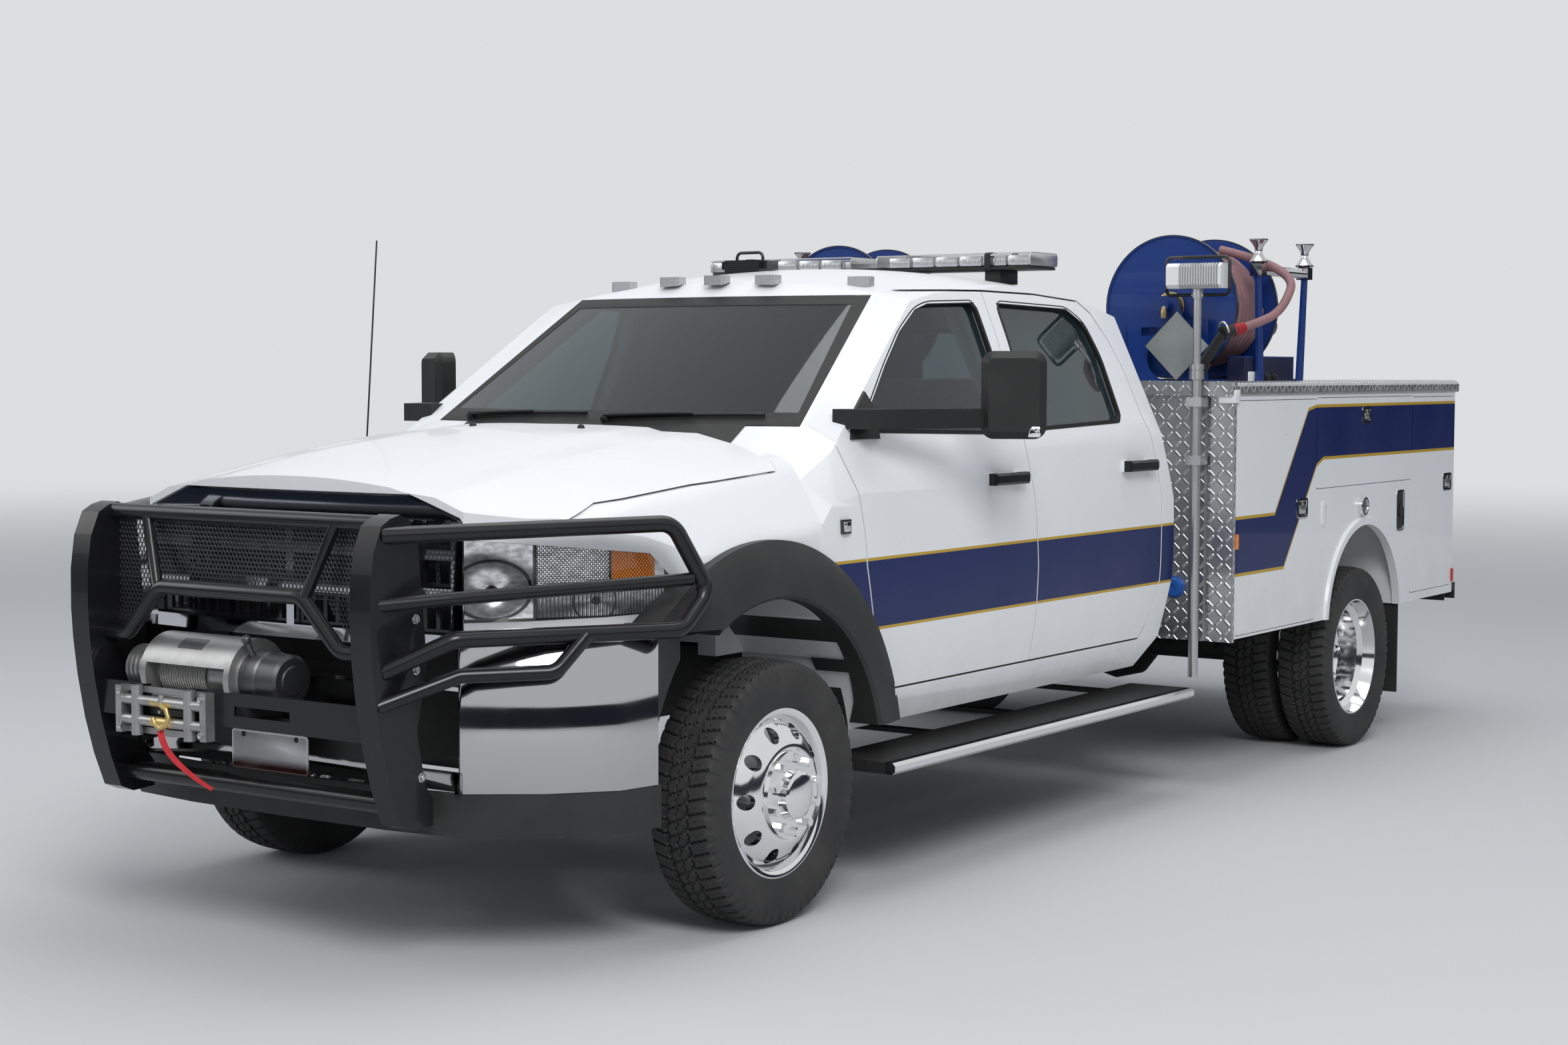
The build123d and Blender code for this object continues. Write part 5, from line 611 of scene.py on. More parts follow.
def lamp_reflector():
    """Bright bowls, flutes and an amber corner under a clear coat, by their places on the lens, with streaks
    of painted reflection on the bright metal, painted shade in the hollows of the flutes and blocks, and
    painted glints on the amber blocks.
    """
    look = Look("lamp_reflector", (0.75, 0.76, 0.77), 0.14, 0.9, Coat_Weight=1.0, Coat_Roughness=0.02)
    t = look.along.ramp(-0.99, -0.415)
    height = look.z

    def around(y, z, wide):
        a = (look.along - y) * (1 / wide)
        b = (height - z) * (1 / wide)
        return look.math("SQRT", a * a + b * b)

    inner = t.between(0.0, 0.31)
    high = (height > 1.078) & t.between(0.31, 0.64)
    amber = (height > 1.088) & t.between(0.65, 0.90)
    low = (height < 1.078) & t.between(0.31, 1.0)
    big = around(-0.905, 1.068, 0.085)
    small = around(-0.66, 1.030, 0.060)
    flutes = look.along.sine(620)
    blocks = flutes * height.sine(520)
    relief = inner * (big * 3.0) + low * (small * 2.0 + flutes * 0.35)
    look.bump(relief + high * (blocks * 0.6) + amber * (blocks * 0.5), 1.0, 0.009)
    # Painted reflection: streaks of light and dark over the bright metal.
    tone = look.mix(look.noise(38, 3, 0.5, (1, 1, 2)).ramp(0.35, 0.7), (0.45, 0.46, 0.48), (0.94, 0.95, 0.96))
    # Painted shade: darker in the hollows of the blocks and of the flutes.
    tone = look.mix(high * blocks.ramp(-0.6, 0.5, 0.75, 0), tone, (0.16, 0.17, 0.18))
    tone = look.mix(low * flutes.ramp(-0.7, 0.3, 0.65, 0), tone, (0.20, 0.21, 0.22))
    for zone, ring, bulb in ((inner, big, 0.16), (low, small, 0.20)):
        tone = look.mix(zone & (ring < bulb), tone, (0.05, 0.05, 0.06))
        tone = look.mix(zone & ring.between(0.92, 1.02), tone, (0.06, 0.06, 0.07))
    # Painted glints: the amber blocks go from dark to bright amber over their raised parts.
    tone = look.mix(amber, tone, look.mix(blocks.ramp(-0.5, 0.6), (0.50, 0.10, 0.004), (0.95, 0.30, 0.012)))
    lines = t.between(0.300, 0.318) | ((t > 0.31) & height.between(1.074, 1.081))
    lines = lines | (t.between(0.635, 0.652) & (height > 1.08)) | (t > 0.955) | (height < 0.988)
    look.paint(look.mix(lines, tone, (0.035, 0.036, 0.04)))
    look.set("Metallic", (1.0 - (amber | lines)) * 0.85)
    return look.material


def bumper_chrome():
    """Chrome, bent by bump to show the floor and the sky as a rounded bumper does."""
    look = Look("bumper_chrome", (0.50, 0.50, 0.51), 0.06, 1.0)
    look.gloss(look.noise(6, 5), 0.05, 0.11)
    rise = look.z - 0.66
    look.bump(rise * rise * -1.0, 1.0, 0.9)
    look.bump(look.noise(3.0, 2), 0.08, 0.01)
    return look.material


def mast_head():
    """Alloy pole, pale lamp heads with painted shade in the grooves between their fins, and black wire loops.
    """
    look = Look("mast_head", (0.62, 0.62, 0.63), 0.3, 0.9)
    low_loop = look.z.between(1.97, 2.0105) & ((look.out_x < 1.03) | (look.out_x > 1.08))
    loop = (look.out_x < 0.9345) | (look.out_x > 1.1735) | (look.z > 2.1135) | low_loop
    head = look.z > 2.0105
    fins = look.x.sine(560)
    fin_zone = head & look.out_x.between(0.99, 1.16)
    look.bump(fins * fin_zone, 1.0, 0.004)
    pole = look.worn((0.62, 0.62, 0.63), (0.40, 0.40, 0.41), 0.5, 8, 5, end=0.8)
    tone = look.mix(head, pole, (0.74, 0.75, 0.75))
    # Painted shade: darker in the grooves between the fins.
    tone = look.mix(fin_zone * fins.ramp(-0.8, 0.0, 0.6, 0), tone, (0.25, 0.25, 0.26))
    look.paint(look.mix(loop, tone, (0.03, 0.03, 0.033)))
    look.set("Metallic", 0.9 - head * 0.9)
    return look.material


white_paint = painted("white_paint", WHITE).material
plastic = black_plastic("black_plastic")
dash_plastic = black_plastic("dash_plastic", 0.10, 0.55)
chrome = chromed("chrome", 0.62)
alloy = chromed("alloy", 0.62, 0.28)
mesh_black = painted("mesh_black", (0.030, 0.030, 0.032), 0.3, 0.28, 0.5).material
rubber = plain("tyre_rubber", (0.022, 0.022, 0.023), 0.72, 0,
               ((0.018, 0.018, 0.019), (0.060, 0.057, 0.052), 0.55, 6, 7, 0.35, 0.75, 0.6),
               (420, 4), 0.25, 0.0006)
hose_rubber = plain("hose_rubber", (0.27, 0.14, 0.15), 0.6, 0,
                    ((0.29, 0.15, 0.16), (0.17, 0.10, 0.105), 0.6, 16, 6), (500, 3), 0.2, 0.0005)


def spotted(name, color, fade, rough, metal, spots, *bump, **constants):
    """A plain material with small spots, as (amount, scale), over its colour."""
    return plain(name, color, rough, metal, (color, fade, *spots, 3, 0.3), *bump, **constants)


seat_cloth = spotted("seat_cloth", (0.16, 0.16, 0.165), (0.08, 0.08, 0.085), 0.9, 0, (0.5, 30),
                     lambda look: look.x.sine(2600) + look.z.sine(2600), 0.3, 0.0004, Sheen_Weight=0.3)
red_web = spotted("red_strap", (0.55, 0.02, 0.03), (0.30, 0.01, 0.02), 0.75, 0, (0.4, 40),
                  lambda look: look.z.sine(3000), 0.4, 0.0004)
wire_rope = spotted("wire_rope", (0.42, 0.42, 0.41), (0.18, 0.17, 0.16), 0.42, 0.8, (0.5, 90),
                    lambda look: (look.x + look.z).sine(1600), 0.7, 0.0012)
seal = spotted("seal_rubber", grey(0.012), grey(0.03), 0.5, 0, (0.3, 40), (600, 3), 0.2, 0.0005,
               Specular_IOR_Level=0.3)
brass = spotted("brass", (0.52, 0.40, 0.20), (0.20, 0.15, 0.08), 0.32, 0.9, (0.6, 40), (300, 3), 0.15, 0.0006)
red_ring = spotted("red_coupling", (0.42, 0.02, 0.03), (0.20, 0.02, 0.02), 0.4, 0.2, (0.5, 30), (300, 3), 0.1,
                   0.0006, Coat_Weight=0.3)
label_paint = spotted("blank_label", (0.05, 0.05, 0.055), grey(0.09), 0.35, 0, (0.4, 30), (300, 2), 0.05,
                      0.0004, Coat_Weight=0.3)
cap_blue = spotted("blue_cap", (0.01, 0.09, 0.40), (0.04, 0.15, 0.45), 0.4, 0, (0.3, 30), (400, 2), 0.1,
                   0.0005)


def dress(names, stuff, angle=32):
    """Gives CAD nodes a material; a name with a star is a left and a right node."""
    for name in names.split():
        for full in (name.replace("*", "left"), name.replace("*", "right")) if "*" in name else (name,):
            obj = NODES[full]
            obj.data.materials.clear()
            obj.data.materials.append(stuff)
            smooth_by_angle(obj, angle)


dress("cab_shell fenders hood *_front_door *_rear_door", striped_cab(), 28)
for names, stuff in (
        ("service_body *_front_hatch *_middle_hatch *_rear_hatch tailgate", striped_body()),
        ("frame_rails", cast("frame_black", 0.020, 0.5, 0.0)),
        ("front_axle rear_axle rear_bumper engine_bay fuel_tank", cast("chassis_black", 0.022, 0.6, 0.0)),
        ("powertrain *_knuckle", cast("cast_metal", 0.16)),
        ("black_trim", black_plastic("flare_plastic", 0.026, 0.5)),
        ("dashboard seats", dash_plastic),
        ("nozzle *_mirror", plastic),
        ("running_boards", board_look()),
        ("front_bumper", bumper_chrome()),
        ("grille", grille_chrome()),
        ("roller_guides", chrome),
        ("*_front_rim *_rear_rims", chromed("polished_wheel", 0.86, 0.08)),
        ("mast_base", alloy),
        ("mast_top", mast_head()),
        ("winch", winch_metal()),
        ("grille_guard", painted("guard_black", (0.008, 0.008, 0.009), 0.25, 0.3, 0.3).material),
        ("guard_mesh", mesh_black),
        ("tread_plates", diamond_plate()),
        ("fixed_glass *_front_door_glass *_rear_door_glass", clear("cab_glass", (0.20, 0.26, 0.28))),
        ("headlights", lamp_reflector()),
        ("light_bar", clear("clear_lens", (0.93, 0.94, 0.95), 0.03)),
        ("lamps", lamp_colors()),
        ("reel_frames", frame_parts()),
        ("*_reel", reel_blue())):
    dress(names, stuff)

# The free hose
HOSE_POINTS = [(920, 3450, 2190.6), (1272, 3424, 2107.6), (1262, 3310, 1930), (1186, 3190, 1870),
               (1135, 3090, 1846)]
hose_curve = bpy.data.curves.new("free_hose", "CURVE")
hose_curve.dimensions = "3D"
hose_curve.bevel_depth = 0.018
hose_curve.bevel_resolution = 5
spline = hose_curve.splines.new("NURBS")
spline.points.add(len(HOSE_POINTS) - 1)
for point, place in zip(spline.points, HOSE_POINTS):
    point.co = (*at(*place), 1)
spline.order_u = 3
spline.use_endpoint_u = True
spline.resolution_u = 24
hose_curve.materials.append(hose_rubber)
free_hose = placed("free_hose", hose_curve)
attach(free_hose, "body")
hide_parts("hose")


def curve_length(obj):
    line = obj.data.copy()
    line.bevel_depth = 0
    probe = bpy.data.objects.new("probe", line)
    mesh = bpy.data.meshes.new_from_object(probe)
    points = [v.co.copy() for v in mesh.vertices]
    total = sum((b - a).length for a, b in zip(points, points[1:]))
    bpy.data.objects.remove(probe)
    bpy.data.meshes.remove(mesh)
    return total


# Tyres
TYRE_RADIUS = 404
FRONT_TYRE_X, TWIN_X, TWIN_STEP = 956, 942, 131
REAR_AXLE_Y = 4404
# Each wall runs from the shoulder to the bead, as (sideways, radius)
TYRE_WALL = [(101, 394), (106, 386), (109, 374), (111.5, 358), (112.3, 340), (112.3, 322), (110.5, 306),
             (107, 290), (104, 278), (101, 268), (98, 262.5), (96, 258), (90, 250)]


def tyre_mesh():
    """One tyre about the X axis through its own middle: tread blocks, shoulders and side walls."""
    around, across, blocks, half_width = 600, 44, 60, 96.0
    angles = np.linspace(0, 2 * math.pi, around, endpoint=False)
    W, A = np.meshgrid(np.linspace(-1, 1, across), angles)
    off = np.abs(W)
    pitch = A / (2 * math.pi) * blocks
    zig = np.abs((pitch % 1) * 2 - 1) * 2 - 1
    cuts = [(np.abs(W - centre - 0.055 * zig) < 0.050, 11.0) for centre in (-0.36, 0.36)]
    cuts.append((np.abs(W - 0.05 * zig) < 0.030, 8.0))
    cuts.append((((pitch + 0.55 * off + (W > 0) * 0.5) % 1 < 0.17) & (off > 0.44), 10.0))
    cuts.append((((pitch + 0.9 * W + 0.25) % 1 < 0.10) & (off < 0.32), 8.0))
    cuts.append((((pitch * 2 + 0.7 * off) % 1 < 0.10) & (off > 0.46) & (off < 0.80), 3.0))
    depth = np.zeros_like(W)
    for mask, deep in cuts:
        depth = np.maximum(depth, np.where(mask, deep, 0.0))
    radius = TYRE_RADIUS - 7.0 * off ** 3 - depth
    points = np.stack([W * half_width, radius * np.cos(A), radius * np.sin(A)], -1).reshape(-1, 3)
    ring = np.arange(around)
    I, J = np.meshgrid(ring, np.arange(across - 1), indexing="ij")
    after = (I + 1) % around
    faces = [np.stack([I * across + J, I * across + J + 1, after * across + J + 1, after * across + J],
                      -1).reshape(-1, 4)]
    lug = ((pitch + 0.5) % 1 < 0.62)[:, 0]
    total = len(points)
    stack = [points]
    for sign in (-1, 1):
        previous = ring * across + (across - 1 if sign > 0 else 0)
        for place, (wide, high) in enumerate(TYRE_WALL):
            out = np.full(around, float(wide))
            if place in (1, 2):
                out = np.where(lug, wide + 1.2, wide - 3.0)
            if place == 0:
                out = np.where(lug, wide, wide - 4.0)
            stack.append(np.stack([sign * out, high * np.cos(angles), high * np.sin(angles)], -1))
            now = total + ring
            quad = np.stack([previous, now, np.roll(now, -1), np.roll(previous, -1)], -1)
            faces.append(quad if sign > 0 else quad[:, ::-1])
            previous = now
            total += around
    v = np.concatenate(stack) / 1000
    f = np.concatenate(faces)
    mesh = bpy.data.meshes.new("tyre")
    mesh.vertices.add(len(v))
    mesh.vertices.foreach_set("co", v.astype(np.float32).ravel())
    mesh.loops.add(f.size)
    mesh.loops.foreach_set("vertex_index", f[:, ::-1].ravel().astype(np.int32))
    mesh.polygons.add(len(f))
    mesh.polygons.foreach_set("loop_start", np.arange(0, f.size, 4, dtype=np.int32))
    mesh.update(calc_edges=True)
    mesh.validate()
    mesh.materials.append(rubber)
    return mesh


def lay_tyres():
    mesh = tyre_mesh()
    for side, sign in SIDES:
        for name, node, body, rows in (
                ("front_tread", "front_tyre", "front_wheel", [(FRONT_TYRE_X, 0)]),
                ("twin_tread", "rear_tyres", "rear_wheels", [(TWIN_X - TWIN_STEP, REAR_AXLE_Y),
                                                             (TWIN_X + TWIN_STEP, REAR_AXLE_Y)])):
            for place, (x, y) in enumerate(rows):
                obj = placed(f"{side}_{name}_{place}", mesh)
                obj.location = at(sign * x, y, TYRE_RADIUS)
                obj.rotation_euler = (math.pi / 2 * place, 0, 0)
                smooth_by_angle(obj, 30)
                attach(obj, f"{side}_{body}")
                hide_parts(f"{side}_{node}")


lay_tyres()

# Reading the solids' surfaces
skins = {}


def skin(name):
    if name not in skins:
        data = NODES[name].data
        skins[name] = BVHTree.FromPolygons([tuple(v.co) for v in data.vertices],
                                           [tuple(p.vertices) for p in data.polygons])
    return skins[name]


def found(names, start, direction):
    """The first surface point of these nodes along a direction, in drawing millimetres, or None."""
    hits = [skin(name).ray_cast(at(*start), Vector(direction).normalized(), 4.0) for name in names]
    hits = [hit for hit in hits if hit[0] is not None]
    if not hits:
        return None
    place = min(hits, key=lambda hit: hit[3])[0]
    return Vector((place.x * 1000, place.y * 1000 + ORIGIN_Y, place.z * 1000))


def from_side(names, y, z):
    return found(names, (1500, y, z), (-1, 0, 0))


def from_above(names, x, y, z):
    return found(names, (x, y, z), (0, 0, -1))


def on_screen(x, z):
    return found(["fixed_glass"], (x, -600, z), (0, 1, 0))


# Window seals, windscreen edge, scuttle panel and wipers
FRONT_WINDOW = [(655, 1490), (735, 1570), (887, 1700), (1035, 1815), (1171, 1893), (1260, 1916),
                (1590, 1928), (1600, 1745), (1572, 1466)]
REAR_WINDOW = [(1718, 1475), (1758, 1775), (1752, 1930), (2290, 1920), (2397, 1866), (2448, 1738),
               (2455, 1494)]
SCREEN = [(-780, 1500), (780, 1500), (645, 1945), (-645, 1945)]


def around_outline(points, step):
    """Points about a step apart along the straight runs of a closed outline."""
    out = []
    for i, start in enumerate(points):
        a, b = Vector(start), Vector(points[(i + 1) % len(points)])
        n = max(1, int((b - a).length / step))
        out += [a.lerp(b, k / n) for k in range(n)]
    return out


def side_seal(door, outline):
    """A rubber band round one side window, on the door's skin."""
    line = around_outline(rounded(outline, 40, 4), 22)
    rows = []
    for o, i in zip(outward(line, 10), outward(line, -4)):
        hit = found([f"left_{door}"], (1400, o.x, o.y), (-1, 0, 0))
        if hit is not None:
            rows.append([(hit.x - 1, o.x, o.y), (hit.x + 1.6, o.x, o.y), (hit.x + 1.8, i.x, i.y),
                         (hit.x - 16, i.x, i.y)])
    band = Shape().grid(rows, closed=True)
    for side, sign in SIDES:
        piece(f"{side}_{door}_seal", band.for_side(sign), seal, f"{side}_{door}", angle=60)


side_seal("front_door", FRONT_WINDOW)
side_seal("rear_door", REAR_WINDOW)


def screen_border():
    """The windscreen's black printed edge, just outside the glass."""
    inner = [(x - math.copysign(42, x), z + (44 if z < 1700 else -34)) for x, z in SCREEN]
    rows = []
    for i in range(4):
        p, q = Vector(SCREEN[i]), Vector(SCREEN[(i + 1) % 4])
        s, t = Vector(inner[i]), Vector(inner[(i + 1) % 4])
        n = max(1, int((q - p).length / 40))
        for k in range(n):
            outer, near = p.lerp(q, k / n), s.lerp(t, k / n)
            edge = outer.lerp(near, 0.07)
            a, b = on_screen(edge.x, edge.y), on_screen(near.x, near.y)
            if a is not None and b is not None:
                rows.append([a + Vector((0, 0.5, 0)), a + Vector((0, -1.4, 0.4)), b + Vector((0, -1.4, 0.4)),
                             b + Vector((0, 0.3, 0))])
    return Shape().grid(rows, closed=True)


piece("windscreen_border", screen_border(), seal, "body", angle=60)


def scuttle():
    """The black panel between the hood's back edge and the windscreen's foot."""
    hood_middle, hood_corner, corner_x, clearance = 150, 265, 700, 78
    rows = []
    for x in np.linspace(-600, 600, 41):
        back = hood_middle + (hood_corner - hood_middle) * min(1.0, abs(x) / corner_x) + clearance
        foot = on_screen(x, 1512)
        if foot is None:
            continue
        row = []
        for t in np.linspace(0, 1, 7):
            y = back + (foot.y - 3 - back) * t
            hit = from_above(["cab_shell", "fixed_glass"], x, y, 1900)
            height = hit.z if hit is not None else 1480
            row.append((x, y, height + (3.0 if 0 < t < 1 else 0.5)))
        rows.append(row)
    return Shape().grid(rows)


piece("cowl_panel", scuttle(), plastic, "body", angle=50)


def wiper(x_pivot, x_end):
    """A wiper at rest along the windscreen's foot."""
    arm = []
    blade = []
    for t in np.linspace(0, 1, 13):
        x = x_pivot + (x_end - x_pivot) * t
        z = 1519 + 16 * math.sin(t * math.pi * 0.5)
        hit = on_screen(x, z)
        if hit is None:
            continue
        blade.append((x, hit.y - 9, z + 3))
        if t < 0.62:
            arm.append((x, hit.y - 20 - 8 * math.sin(t * 4), z + 12 - 5 * t))
    shape = Shape().tube(blade, 6, 6)
    shape.tube(arm, [9 - 5 * k / len(arm) for k in range(len(arm))], 8)
    x, y, z = arm[0]
    return shape.turned((x, y + 14, z - 22), (0, -0.5, 0.86), [(0, 17), (18, 17), (26, 13), (28, 0.5)], 20)


wipers = wiper(-600, -40).join(wiper(60, 640))
for x in (-230, 230):
    spot = from_above(["hood"], x, 60, 1900)
    wipers.turned(spot - Vector((0, 0, 1)), (0, 0.3, 1), [(0, 13), (6, 12), (12, 7), (13, 0.5)], 16)
piece("wipers", wipers, plastic, "body", bevel=0.8)


# Seats
def pad(size, power=5.0, crown=0.0, channels=(), n=16):
    """A stuffed cushion about its own middle: rounded, crowned above, with sewn channels across its top."""
    points, faces, index = [], [], {}
    half = [s / 2 for s in size]

    def vertex(p):
        key = tuple(round(c, 5) for c in p)
        if key in index:
            return index[key]
        length = sum(abs(c) ** power for c in p) ** (1 / power)
        q = [c / length for c in p]
        x, y, z = (q[k] * half[k] for k in range(3))
        if q[2] > 0.3:
            z += crown * (1 - q[0] ** 2) * (1 - q[1] ** 2)
            for axis, where, width, deep in channels:
                z -= deep * math.exp(-(((q[axis] - where) * half[axis]) / width) ** 2)
        x *= 1 - 0.035 * (1 - abs(q[2])) * (1 - abs(q[1]) ** 2)
        index[key] = len(points)
        points.append(Vector((x, y, z)))
        return index[key]

    for axis in range(3):
        for sign in (-1, 1):
            for i in range(n):
                for j in range(n):
                    corner = []
                    for di, dj in ((0, 0), (1, 0), (1, 1), (0, 1)):
                        p = [0.0, 0.0, 0.0]
                        p[axis] = float(sign)
                        p[(axis + 1) % 3] = -1 + 2 * (i + di) / n
                        p[(axis + 2) % 3] = -1 + 2 * (j + dj) / n
                        corner.append(vertex(p))
                    faces.append(tuple(corner if sign > 0 else corner[::-1]))
    return Shape().add(points, faces)


FRONT_SEAT_Y, BENCH_Y, SEAT_LEAN = 1130, 2000, 14


def seat_pieces():
    """Front buckets and the rear bench as separate cushions on dark frames."""
    side_seams = ((0, -0.52, 7, 9), (0, 0.52, 7, 9))
    lines = side_seams + ((1, 0.1, 6, 5),)
    ribs = side_seams + tuple((1, where, 6, 6) for where in (-0.3, 0.0, 0.3))
    lean = Matrix.Rotation(math.radians(90 - SEAT_LEAN), 4, "X")
    made = []
    heads = []
    for name, x, wide, y0 in (("driver", 480, 520, FRONT_SEAT_Y), ("passenger", -480, 520, FRONT_SEAT_Y),
                              ("bench_left", 372, 730, BENCH_Y), ("bench_right", -372, 730, BENCH_Y)):
        made.append((f"{name}_cushion", pad((wide, 500, 120), 5, 12, lines).moved((x, y0 + 262, 928))))
        back = pad((wide - 10, 400, 118), 5, 10, ribs).moved((x, y0 + 508, 1150), lean)
        made.append((f"{name}_back", back))
        head = pad((270, 175, 92), 4, 6).moved((math.copysign(480, x), y0 + 574, 1462), lean)
        heads.append((f"{name}_headrest", head))
    for name, shape in made + heads:
        cushion = piece(name, shape, seat_cloth, "body", angle=70, subdivide=1)
        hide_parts("seats")
    base = Shape()
    for x0, x1, middle, y0 in ((505, 740, 485, FRONT_SEAT_Y), (-740, -505, -485, FRONT_SEAT_Y),
                               (30, 735, 382.5, BENCH_Y), (-735, -30, -382.5, BENCH_Y)):
        base.box(x0, x1, y0 + 55, y0 + 450, 704, 868)
        for dx in (-60, 60):
            base.rod((middle + dx, y0 + 552, 1330), (middle + dx, y0 + 566, 1400), 6, 10)
    seat_base = piece("seat_frames", base, dash_plastic, "body", bevel=6)
    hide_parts("seats")
    mirror = pad((240, 32, 66), 5).moved((0, 930, 1790))
    mirror.rod((0, 925, 1800), (0, 905, 1838), 7, 10)
    piece("inside_mirror", mirror, plastic, "body", angle=50)


seat_pieces()


# The grille guard's perforated mesh, bolts, sleeves, strap and plate
def holds(outline, x, z):
    odd = False
    for (ax, az), (bx, bz) in zip(outline, outline[1:] + outline[:1]):
        if (az > z) != (bz > z) and x < (bx - ax) * (z - az) / (bz - az) + ax:
            odd = not odd
    return odd


def perforated(outline, y0, y1, pitch=15.0, hole=5.6, sides=8):
    """A sheet with round holes on a close grid, cut to the outline."""
    shape = Shape()
    half, tall = pitch / 2, pitch * 0.4335
    xs = [p[0] for p in outline]
    zs = [p[1] for p in outline]
    ring = [(math.cos(2 * math.pi * k / sides), math.sin(2 * math.pi * k / sides)) for k in range(sides)]
    row = 0
    z = min(zs) + half
    while z < max(zs):
        x = min(xs) + half + (half if row % 2 else 0)
        while x < max(xs):
            corner_in = [holds(outline, x + a * half, z + b * tall) for a in (-1, 1) for b in (-1, 1)]
            if all(corner_in) or holds(outline, x, z):
                inner = [(x + c * hole, z + s * hole) for c, s in ring]
                outer = []
                for c, s in ring:
                    big = max(abs(c) / half, abs(s) / tall)
                    outer.append((x + c / big, z + s / big))
                levels = ((outer, y0), (inner, y0), (inner, y1))
                shape.grid([[(px, y, pz) for px, pz in line] for line, y in levels], around=True)
            x += pitch
        z += pitch * 0.867
        row += 1
    return shape


HALF = 529.7
MESH_OUTLINE = [(-HALF, 910), (-450, 910), (-320, 1040), (320, 1040), (450, 910), (HALF, 910), (HALF, 1237),
                (-HALF, 1237)]
mesh_sheet = piece("guard_mesh_sheet", perforated(MESH_OUTLINE, -1176, -1173.5), mesh_black, "body",
                   angle=60)
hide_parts("guard_mesh")

bolts = Shape()
for way in (1, -1):
    for y, z in ((-1120, 1000), (-1120, 860), (-1105, 700), (-1100, 560)):
        hit = found(["grille_guard"], (way * 900, y, z), (-way, 0, 0))
        if hit is not None and abs(hit.x) > 500:
            bolts.turned(hit, (way, 0, 0), [(-1, 15), (2, 15), (2, 10), (9, 10), (10, 8), (10, 0.5)], 6)
for x, z in ((-410, 640), (-410, 742), (-70, 640), (-70, 742)):
    bolts.turned((x, -1292, z), (0, 1, 0), [(0, 9), (8, 9)], 6)
piece("guard_bolts", bolts, alloy, "body", bevel=0.8)

sleeves = Shape()
tube = found(["grille_guard"], (0, -1500, 470), (0, 1, 0))
low = found(["grille_guard"], (0, tube.y + 20, 300), (0, 0, 1))
high = from_above(["grille_guard"], 0, tube.y + 20, 560)
middle, radius = (high.z + low.z) / 2, (high.z - low.z) / 2
for x0, x1 in ((-500, -130), (-60, 20), (60, 500)):
    steps = int((x1 - x0) / 9)
    profile = [((x1 - x0) * k / steps, radius + (2.2 if k % 2 else 1.2)) for k in range(steps + 1)]
    sleeves.turned((x0, tube.y + radius, middle), (1, 0, 0), profile, 24)
piece("tube_sleeves", sleeves, plastic, "body", angle=40)

STRAP_PATH = [(-240, -1284, 640), (-228, -1289, 612), (-200, -1291, 580), (-160, -1289, 550),
              (-116, -1284, 524), (-78, -1277, 503), (-44, -1268, 486)]
depth = Vector((0.2, 1, 0.1)).normalized() * 1.2
rows = []
for k, place in enumerate(STRAP_PATH):
    t = k / (len(STRAP_PATH) - 1)
    a = 0.3 + 1.5 * t
    p = Vector(place)
    across = Vector((math.cos(a) * 0.6, 0.5 * math.sin(a) + 0.2, math.sin(a) * 0.5)).normalized()
    across *= 11 - 4 * t
    rows.append([p - across, p + across, p + across + depth, p - across + depth])
strap = Shape().grid(rows, around=True)
strap.add(rows[0], [(0, 1, 2, 3)])
strap.add(rows[-1], [(3, 2, 1, 0)])
piece("hook_strap", strap, red_web, "body", subdivide=1, angle=60)

PLATE_WHITE = (0.72, 0.73, 0.74)
plate_paint = Look("plate_white", PLATE_WHITE, 0.3, 0.0, Coat_Weight=0.3)
plate_paint.paint(plate_paint.mix(plate_paint.z.ramp(0.535, 0.560, 1, 0), PLATE_WHITE, (0.07, 0.01, 0.01)))
plate_paint.bump(plate_paint.noise(200, 2), 0.05, 0.0005)
plate_outline = rounded(corners(-137, 172, 521, 636), 12, 5)
front_plate = Shape().front(plate_outline, -1103, -1101)
rim = ((-1103, 0), (-1105, -1), (-1105, -5), (-1103, -6))
front_plate.grid(rings(plate_outline, rim, front=True), around=True)
piece("front_plate", front_plate, plate_paint.material, "body", angle=30)
holder = Shape()
for x in (-90, 125):
    holder.box(x - 14, x + 14, -1100.8, -1097.8, 560, 668)
    holder.turned((x, -1101, 622), (0, -1, 0), [(0, 8), (3.5, 8), (5, 6), (5, 0.5)], 12)
piece("plate_holder", holder, plastic, "body", bevel=0.6)

# Light bar
BAR_FOOT_X = 560
LAMP_BEAD = [(0, 9.5), (7, 9.0), (8.5, 6), (8.6, 0.5)]
bar = Shape().box(-740, 740, 2117, 2323, 2068.5, 2080)
for x in (-BAR_FOOT_X, BAR_FOOT_X):
    roof = from_above(["cab_shell"], x, 2220, 2400)
    bar.box(x - 34, x + 34, 2150, 2290, roof.z + 0.5, 2068.5)
bar_parts = [piece("bar_base", bar, plastic, "body", bevel=2.5)]
modules = Shape()
for k in range(14):
    x = -693 + k * 106.6
    if abs(x) < 70:
        continue
    for y, way in ((2128, -1), (2312, 1)):
        modules.box(x - 46, x + 46, y - 4 if way < 0 else y - 14, y + 14 if way < 0 else y + 4, 2082, 2121)
        for dx in (-32, -11, 11, 32):
            modules.turned((x + dx, y - way * 2, 2102), (0, way, 0), LAMP_BEAD, 12)
modules.box(-720, -70, 2160, 2280, 2081, 2088).box(70, 720, 2160, 2280, 2081, 2088)
bar_parts.append(piece("bar_modules", modules, alloy, "body", bevel=0.8, angle=40))
cover = Shape()
for x0, x1, top in ((-745, -61, 2132), (-61, 61, 2108), (61, 745, 2132)):
    cover.sleeve(rounded(corners(2110, 2330, 2080.5, top), 16, 4), x0, x1, 2.2)
lamp_glass = clear("lamp_glass", (0.90, 0.91, 0.92))
